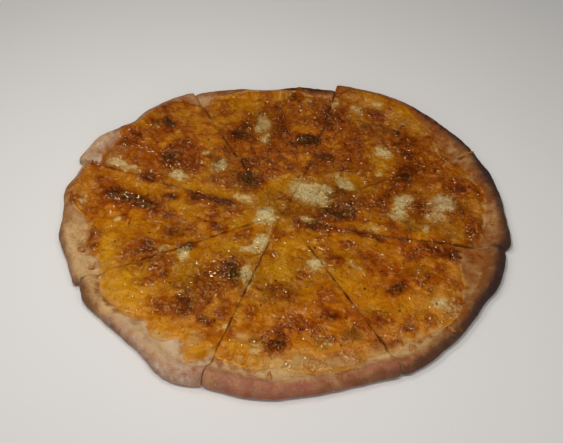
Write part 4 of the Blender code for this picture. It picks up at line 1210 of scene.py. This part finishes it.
def bakedDough():
    t = crustTones
    material, paint, shader, where = startMaterial("baked_dough")
    mix, times, scaled, held, mask = paint.mix, paint.times, paint.scaled, paint.held, paint.mask
    big = paint.place(mottle, Vector=where, Grain=t["grain"], Stretch=0.5)
    small = paint.place(mottle, Vector=where, Grain=t["fineGrain"], Stretch=0.6)
    broad = paint.place(mottle, Vector=where, Grain=t["broadGrain"], Stretch=0.4)
    tone, fine = big["Tone"], small["Tone"]
    base = mix(scaled(tone, 2.0, 0.35), t["dough"], t["doughDeep"])
    brown = mix(held(scaled(tone, 0.6, mask("pinkish"))), t["tan"], t["pink"])
    base = mix(held(scaled(fine, 0.5, mask("tanned"))), base, brown)
    burnt = held(scaled(tone, 0.3, scaled(fine, 0.35, mask("burnt"))))
    base = mix(burnt, base, mix(mask("cool"), t["burnt"], t["burntCool"]))
    stain = mix(scaled(tone, 2.4, 0.6), t["stain"], t["stainDeep"])
    base = mix(times(mask("stained"), t["stainDepth"]), base, stain)
    floury = mask("floury")
    dust = paint.place(specks, Vector=where, Spacing=2300.0, Mask=times(floury, 0.6), Size=0.6)["Speck"]
    haze = held(times(floury, scaled(tone, 1.6, 0.35)))
    base = mix(paint.maths("MAXIMUM", times(dust, 0.45), haze), base, t["flour"])
    scorch = held(scaled(tone, 0.8, scaled(broad["Tone"], 3.2, 0.1)))
    base = mix(mask("underneath"), base, mix(scorch, t["under"], t["scorch"]))
    pores = paint.place(specks, Vector=where, Spacing=900.0, Mask=0.5, Size=0.5)["Speck"]
    crumb = mask("crumb")
    # painted shade: pores in the cut crumb darker, as well as dipped by the bump
    base = mix(crumb, base, mix(times(pores, 0.7), t["crumb"], t["poreShade"]))
    pepper = paint.place(specks, Vector=where, Spacing=260.0, Mask=0.05, Size=0.14)["Speck"]
    height = scaled(small["Height"], 0.35, big["Height"])
    height = paint.maths("SUBTRACT", height, times(pores, times(crumb, 0.8)))
    paint.fill(shader, {
        "Base Color": mix(times(pepper, 0.8), base, t["pepper"]),
        "Roughness": scaled(fine, 0.3, t["roughness"]),
        "Normal": paint.bump(height, *t["bump"]),
        "Specular IOR Level": t["specular"],
    })
    return material


herbLook = {
    "tones": ("1c1005", "38240c", "5c4218"),
    "places": (0.0, 0.55, 1.0),
    "grain": 900.0,
    "lift": (3.0, 0.4),
    "roughness": (0.4, 0.7),
    "bump": (0.4, 0.1 * mm),
    "specular": 0.15,
}
strayLook = {
    "tones": ("98501c", "b87830", "cc9850"),
    "places": (0.0, 0.5, 1.0),
    "grain": 500.0,
    "lift": (2.2, 0.45),
    "roughness": (0.3, 0.4),
    "bump": (0.5, 0.3 * mm),
    "specular": 0.5,
}
# painted highlight: the pale tones of the lumps that stand for glints
paintedGlintLook = {**strayLook, "tones": ("c08a50", "dcb484", "ecd0a8")}


def looseBits(name, look):      # herbs and scraps, in a dark, a middle and a light tone
    material, paint, shader, where = startMaterial(name)
    grain = paint.place(mottle, Vector=where, Grain=look["grain"], Stretch=0.5)
    colour = paint.ramp(paint.scaled(grain["Tone"], *look["lift"]), list(zip(look["places"], look["tones"])))
    paint.fill(shader, {
        "Base Color": colour,
        "Roughness": paint.scaled(grain["Tone"], *look["roughness"]),
        "Normal": paint.bump(grain["Height"], *look["bump"]),
        "Specular IOR Level": look["specular"],
    })
    return material


cheeseMaterial = meltedCheese("melted_cheese", cheeseFinish)
fatMaterial = meltedCheese("fat_beads", fatFinish)
doughMaterial, herbMaterial = bakedDough(), looseBits("dried_herb", herbLook)
strayMaterial, paintedGlintMaterial = looseBits("stray_cheese", strayLook), looseBits("painted_glint_bits", paintedGlintLook)
print("materials made")

tops, rims = [], []
for wedge in wedges:
    tops.append(cheesePiece(wedge, cheeseMaterial))
    rims.append(crustPiece(wedge, doughMaterial))
print("cheese and crust made")

# the largest herb flakes, where the solids have them
leaves = {
    "perSlice": 13,
    "halfSize": (1.5 * mm, 0.9 * mm, 0.5 * mm),
    "spread": (0.8, 1.15),
    "shrink": 0.62,             # the leaf inside its plain solid
    "tilt": 0.25,
    "lift": 0.4 * mm,
    "shares": (0.08, 0.92),
    "reach": (0.14, 0.9),
    "nudge": 0.05,
    "placeSeed": 7,
    "detail": 1,
    "rough": 0.35,
    "seed": 5,
}

# scraps of cheese on the bare rim: slice, angle, radius, half length, half width, half height in mm
scraps = {
    "places": [
        (1, 25.4, 144.8, 7.0, 1.7, 1.3), (1, 357.5, 141.5, 1.8, 1.7, 1.2), (5, 196.0, 136.5, 2.8, 2.4, 1.2),
        (5, 202.8, 132.8, 2.4, 1.8, 1.1), (7, 267.2, 133.5, 4.2, 1.5, 1.1), (8, 305.5, 135.5, 3.0, 2.2, 1.2),
        (8, 316.5, 141.8, 2.6, 1.2, 1.0),
    ],
    "lift": 0.2 * mm,
    "detail": 4,
    "rough": 0.3,
    "seed": 6,
}

# painted highlights: pale lumps on the cheese where small glints shine; angle in degrees, radius in mm, turn
# in degrees
paintedGlintBits = {
    "places": [
        (245, 124, 20), (267, 88, -30), (279, 87, 10), (299, 92, 40), (219, 104, 0), (241, 84, 60),
        (331, 74, -20), (178, 67, 30), (158, 101, 80), (141, 75, 15), (74, 62, 50), (28, 88, 0),
        (303, 55, 25), (226, 62, -45),
    ],
    "halfSize": (1.15 * mm, 0.6 * mm, 0.5 * mm),
    "lift": 0.15 * mm,
    "tilt": 0.2,
    "detail": 3,
    "rough": 0.25,
    "seed": 8,
}


def lumps(name, places, look, material):        # uneven balls, each at its place, size, turn and tilt
    made = bmesh.new()
    draw = random.Random(look["seed"])
    rough = look["rough"]
    for place, halfSize, turn, tilt in places:
        lump = bmesh.ops.create_icosphere(made, subdivisions=look["detail"], radius=1.0)["verts"]
        shift = Vector((draw.uniform(-9, 9), draw.uniform(-9, 9), draw.uniform(-9, 9)))
        for vert in lump:
            coarse, fine = (noise.noise(vert.co * pitch + shift) for pitch in (1.6, 4.1))
            vert.co *= 1 + rough * coarse + rough * 0.5 * fine
        move = Matrix.Translation(place) @ Matrix.Rotation(turn, 4, "Z") @ Matrix.Rotation(tilt, 4, "X")
        bmesh.ops.transform(made, matrix=move @ Matrix.Diagonal((*halfSize, 1)), verts=lump)
    mesh = bpy.data.meshes.new(name)
    made.to_mesh(mesh)
    made.free()
    mesh.shade_smooth()
    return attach(showMesh(name, mesh, material), "root")


def placeOn(wedge, share, radius):      # plain numbers for a point of a slice
    return [float(value[0]) for value in wedge.point(np.array([share]), np.array([radius]))]


def flakePlaces():
    f = leaves
    golden = (math.sqrt(5) - 1) / 2
    places = []
    for wedge in wedges:
        draw = random.Random(f["placeSeed"] * 100 + wedge.number)
        for index in range(f["perSlice"]):
            across = (index * golden + draw.uniform(0, f["nudge"])) % 1.0
            share = f["shares"][0] + (f["shares"][1] - f["shares"][0]) * across
            outwards = math.sqrt((index + 0.5) / f["perSlice"])
            reach = f["reach"][0] + (f["reach"][1] - f["reach"][0]) * outwards
            radius = float(wedge.melt(np.array([share]))[0]) * reach
            halfSize = [side * draw.uniform(*f["spread"]) * f["shrink"] for side in f["halfSize"]]
            x, y = placeOn(wedge, share, radius)
            spot = [np.array([value]) for value in (share, radius, x, y)]
            top = wedge.doughTop(*spot[:2]) + f["lift"] + wedge.cheeseThickness(*spot)
            turn, tilt = draw.uniform(0, math.pi), draw.uniform(-f["tilt"], f["tilt"])
            places.append((Vector((x, y, float(top[0]))), halfSize, turn, tilt))
    return places


def scrapPlaces():
    places = []
    for number, degrees, radius, *halfSize in scraps["places"]:
        wedge = wedges[number - 1]
        share = wedge.shareAt(degrees, radius * mm)
        height = wedge.doughTop(np.array([share]), np.array([radius * mm]))[0] + scraps["lift"]
        place = Vector((*placeOn(wedge, share, radius * mm), height))
        places.append((place, [side * mm for side in halfSize], math.radians(degrees), 0.0))
    return places


def paintedGlintPlaces():
    places = []
    for degrees, radius, turn in paintedGlintBits["places"]:
        for wedge, top in zip(wedges, tops):
            share = wedge.shareAt(degrees, radius * mm)
            if share <= 1:
                x, y = placeOn(wedge, share, radius * mm)
                z = top["z"][np.argmin(np.hypot(top["x"] - x, top["y"] - y))]
                place = Vector((x, y, z + paintedGlintBits["lift"]))
                places.append((place, paintedGlintBits["halfSize"], math.radians(turn), paintedGlintBits["tilt"]))
    return places


# pale lumps that paint small glints on the cheese
lumps("painted_glint_lumps", paintedGlintPlaces(), paintedGlintBits, paintedGlintMaterial)
lumps("herb_leaves", flakePlaces(), leaves, herbMaterial)
lumps("rim_scraps", scrapPlaces(), scraps, strayMaterial)


def scatterTree():              # bits laid on a surface, thickest where the mask "spread" is high
    sizes = dict.fromkeys(("Density", "Length", "Width", "Thickness", "Sink", "Uneven"), 0.0)
    inputs = {"Geometry": "Geometry", **sizes, "Detail": "Int", "Seed": "Int", "Finish": "Material"}
    paint, given, give = startGroup("laid_bits", "Geometry", inputs, {"Geometry": "Geometry"})
    spread = paint.node("GeometryNodeInputNamedAttribute", {"Name": "spread"}, data_type="FLOAT")
    density = paint.times(spread.outputs["Attribute"], given["Density"])
    points = paint.node("GeometryNodeDistributePointsOnFaces", {
        "Mesh": given["Geometry"], "Density": density, "Seed": given["Seed"]}).outputs
    ball = paint.node("GeometryNodeMeshIcoSphere", {"Radius": 0.5, "Subdivisions": given["Detail"]})
    wobble = paint.node("ShaderNodeTexNoise", {"Scale": 2.3}).outputs["Color"]
    wobble = paint.vector("SUBTRACT", {0: wobble, 1: (0.5, 0.5, 0.5)})
    wobble = paint.vector("SCALE", {0: wobble, "Scale": given["Uneven"]})
    uneven = paint.node("GeometryNodeSetPosition", {"Geometry": ball.outputs["Mesh"], "Offset": wobble})
    spin = paint.anyVector(3, (-0.5, -0.5, 0), (0.5, 0.5, math.tau))
    turned = paint.node("FunctionNodeRotateRotation", {"Rotation": points["Rotation"], "Rotate By": spin},
                        rotation_space="LOCAL").outputs[0]
    sides = {"X": given["Length"], "Y": given["Width"], "Z": given["Thickness"]}
    size = paint.node("ShaderNodeCombineXYZ", sides)
    vary = paint.anyVector(8, (0.45, 0.5, 0.6), (1.35, 1.3, 1.2))
    scale = paint.vector("MULTIPLY", {0: size.outputs["Vector"], 1: vary})
    height = paint.node("ShaderNodeSeparateXYZ", {"Vector": scale}).outputs["Z"]
    down = paint.times(paint.times(height, given["Sink"]), -1.0)
    sunk = paint.vector("SCALE", {0: points["Normal"], "Scale": down})
    placed = paint.node("GeometryNodeSetPosition", {"Geometry": points["Points"], "Offset": sunk})
    laid = paint.node("GeometryNodeInstanceOnPoints", {
        "Points": placed.outputs["Geometry"], "Instance": uneven.outputs["Geometry"],
        "Rotation": turned, "Scale": scale}).outputs["Instances"]
    real = paint.node("GeometryNodeRealizeInstances", {"Geometry": laid}).outputs["Geometry"]
    painted = paint.node("GeometryNodeSetMaterial", {"Geometry": real, "Material": given["Finish"]})
    give("Geometry", painted.outputs["Geometry"])
    return paint.tree


laidBits = scatterTree()


def scatter(name, bed, material, look):
    holder = bpy.data.objects.new(name + "_bed", bed)
    bpy.context.scene.collection.objects.link(holder)
    modifier = holder.modifiers.new("scatter", "NODES")
    modifier.node_group = laidBits
    values = {**look["inputs"], "Finish": material}
    for item in laidBits.interface.items_tree:
        if item.in_out == "INPUT" and item.name in values:
            modifier[item.identifier] = values[item.name]
    bpy.context.view_layer.update()
    result = bpy.data.meshes.new_from_object(holder.evaluated_get(bpy.context.evaluated_depsgraph_get()))
    holder.modifiers.remove(modifier)
    bpy.data.objects.remove(holder)
    result.name = name
    points = np.empty(len(result.vertices) * 3, np.float32)
    result.vertices.foreach_get("co", points)
    result.vertices.foreach_set("co", insideBox(points.reshape(-1, 3)).astype(np.float32).reshape(-1))
    if look["soft"]:
        result.shade_smooth()
    else:
        result.shade_flat()
    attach(showMesh(name, result, material), "root")
    print(name, "laid,", len(result.polygons), "faces")


def bedFrom(parts, name, spreadOf, kept=()):    # the surface that bits are laid on, with the masks they keep
    points, faces, start = [], [], 0
    layers = {key: [] for key in ("spread", *kept)}
    for part in parts:
        points.append(np.stack([part["x"], part["y"], part["z"]], 1))
        faces.append(part["faces"] + start)
        layers["spread"].append(spreadOf(part))
        for key in kept:
            layers[key].append(part["layers"][key])
        start += len(part["x"])
    layers = {key: np.concatenate(values) for key, values in layers.items()}
    return plainMesh(name, np.concatenate(points), np.concatenate(faces).tolist(), layers)


spreads = {
    "herbs": {"everywhere": 0.05, "patches": 1.1, "lipFade": 4 * mm},
    "beads": {"everywhere": 0.1, "crisp": 0.9, "cream": 0.2, "clusterPitch": 9 * mm, "lipFade": 3 * mm},
    "crumbs": {"clusterPitch": 12 * mm},
}


def herbSpread(part):
    s = spreads["herbs"]
    share = np.clip(s["everywhere"] + s["patches"] * part["layers"]["herb"] ** 1.5, 0, 1)
    return share * smooth(part["toLip"] / s["lipFade"])


def beadSpread(part):           # in clusters, most on the crisp parts
    s, masks = spreads["beads"], part["layers"]
    crowd = smooth(0.5 + 1.6 * layeredNoise(part["x"], part["y"], s["clusterPitch"], 211, 2))
    share = s["everywhere"] + s["crisp"] * crowd * masks["crisp"] + s["cream"] * masks["cream"]
    return share * smooth(part["toLip"] / s["lipFade"])


def crumbSpread(part):
    return smooth(0.15 + 1.3 * layeredNoise(part["x"], part["y"], spreads["crumbs"]["clusterPitch"], 221, 2))


# density is the number on a square metre where the spread is full
fineHerbs = {"soft": False, "slot": "cheese", "inputs": {
    "Density": 640000.0, "Length": 1.05 * mm, "Width": 0.45 * mm, "Thickness": 0.3 * mm,
    "Sink": 0.0, "Uneven": 1.0, "Detail": 1, "Seed": 4}}
fatBeads = {"soft": True, "slot": "cheese", "inputs": {
    "Density": 150000.0, "Length": 2.6 * mm, "Width": 2.4 * mm, "Thickness": 2.0 * mm,
    "Sink": 0.3, "Uneven": 0.35, "Detail": 1, "Seed": 9}}
fatDrops = {"soft": True, "slot": "cheese", "inputs": {
    "Density": 82000.0, "Length": 3.0 * mm, "Width": 2.8 * mm, "Thickness": 2.5 * mm,
    "Sink": 0.35, "Uneven": 0.2, "Detail": 2, "Seed": 23}}
rimCrumbs = {"soft": False, "slot": "crust", "inputs": {
    "Density": 90000.0, "Length": 1.2 * mm, "Width": 0.9 * mm, "Thickness": 0.7 * mm,
    "Sink": 0.1, "Uneven": 1.3, "Detail": 1, "Seed": 12}}

scatter("fine_herbs", bedFrom(tops, "herb_bed", herbSpread), herbMaterial, fineHerbs)
beadBed = bedFrom(tops, "bead_bed", beadSpread, cheeseMasks)
scatter("fat_beads", beadBed, fatMaterial, fatBeads)
scatter("fat_drops", beadBed, fatMaterial, fatDrops)
scatter("crumbs", bedFrom(rims, "crumb_bed", crumbSpread, ("burnt", "tanned")), doughMaterial, rimCrumbs)

# floor, light and camera
stageLook = {"floorTone": (0.93, 0.93, 0.93, 1.0), "floorShade": (0.90, 0.90, 0.90, 1.0), "world": 0.13,
             "floorSize": 9.0, "floorDrop": 0.02 * mm}

# place, size, power and warmth of each lamp; all look at the middle of the bread, and a fill makes no glints
warm, plain = (1.0, 0.95, 0.88), (1.0, 0.97, 0.94)
lights = [
    {"name": "key", "at": (-0.10, -0.12, 0.52), "size": 0.06, "power": 0.76, "tint": warm},
    {"name": "left", "at": (-0.42, 0.02, 0.55), "size": 0.05, "power": 0.46, "tint": warm},
    {"name": "right", "at": (0.30, -0.10, 0.60), "size": 0.05, "power": 0.42, "tint": warm},
    {"name": "back", "at": (-0.12, 0.14, 0.46), "size": 0.04, "power": 0.34, "tint": warm},
    {"name": "overhead", "at": (0.05, -0.05, 0.75), "size": 0.10, "power": 0.26, "tint": plain, "fill": True},
    {"name": "front", "at": (0.05, -1.00, 0.42), "size": 0.50, "power": 1.7, "tint": plain, "fill": True},
]

viewpoint = {"elevation": 46.0, "distance": 0.625, "focalPixels": 911.0, "roll": 1.1,
             "aim": (-1.1 * mm, -0.7 * mm, 0.0), "pictureWidth": 563, "sensor": 36.0}


def makeFloor():
    mesh = bpy.data.meshes.new("floor")
    half, down = stageLook["floorSize"] / 2, -stageLook["floorDrop"]
    corners = [(x, y, down) for x, y in ((-half, -half), (half, -half), (half, half), (-half, half))]
    mesh.from_pydata(corners, [], [(0, 1, 2, 3)])
    material, paint, shader, where = startMaterial("floor")
    shade = paint.node("ShaderNodeTexNoise", {"Vector": where, "Scale": 6.0}).outputs["Fac"]
    tone = paint.mix(shade, stageLook["floorTone"], stageLook["floorShade"])
    paint.fill(shader, {"Base Color": tone, "Roughness": 0.9})
    floor = showMesh("floor", mesh, material)


def makeLights():
    for light in lights:
        lamp = bpy.data.lights.new(light["name"], "AREA")
        lamp.shape, lamp.size, lamp.energy, lamp.color = "DISK", light["size"], light["power"], light["tint"]
        made = bpy.data.objects.new(light["name"], lamp)
        made.location = light["at"]
        made.rotation_euler = (-Vector(light["at"])).to_track_quat("-Z", "Y").to_euler()
        made.visible_glossy = not light.get("fill", False)
        bpy.context.scene.collection.objects.link(made)
    world = bpy.data.worlds.new("studio")
    world.use_nodes = True
    sky = world.node_tree.nodes["Background"].inputs
    sky["Color"].default_value, sky["Strength"].default_value = (1, 1, 1, 1), stageLook["world"]
    world.cycles_visibility.glossy = False
    bpy.context.scene.world = world


def makeCamera():
    v = viewpoint
    tilt, roll = math.radians(v["elevation"]), math.radians(v["roll"])
    forward = Vector((0, math.cos(tilt), -math.sin(tilt)))
    right = Vector((1, 0, 0))
    up = right.cross(forward)
    right, up = right * math.cos(roll) + up * math.sin(roll), up * math.cos(roll) - right * math.sin(roll)
    lens = bpy.data.cameras.new("camera")
    lens.sensor_width = v["sensor"]
    lens.lens = v["focalPixels"] * lens.sensor_width / v["pictureWidth"]
    made = bpy.data.objects.new("camera", lens)
    matrix = Matrix((right, up, -forward)).transposed().to_4x4()
    matrix.translation = Vector(v["aim"]) - forward * v["distance"]
    made.matrix_world = matrix
    bpy.context.scene.collection.objects.link(made)
    bpy.context.scene.camera = made


makeFloor()
makeLights()
makeCamera()
bpy.context.scene.view_settings.view_transform = "Standard"
print("stage set")
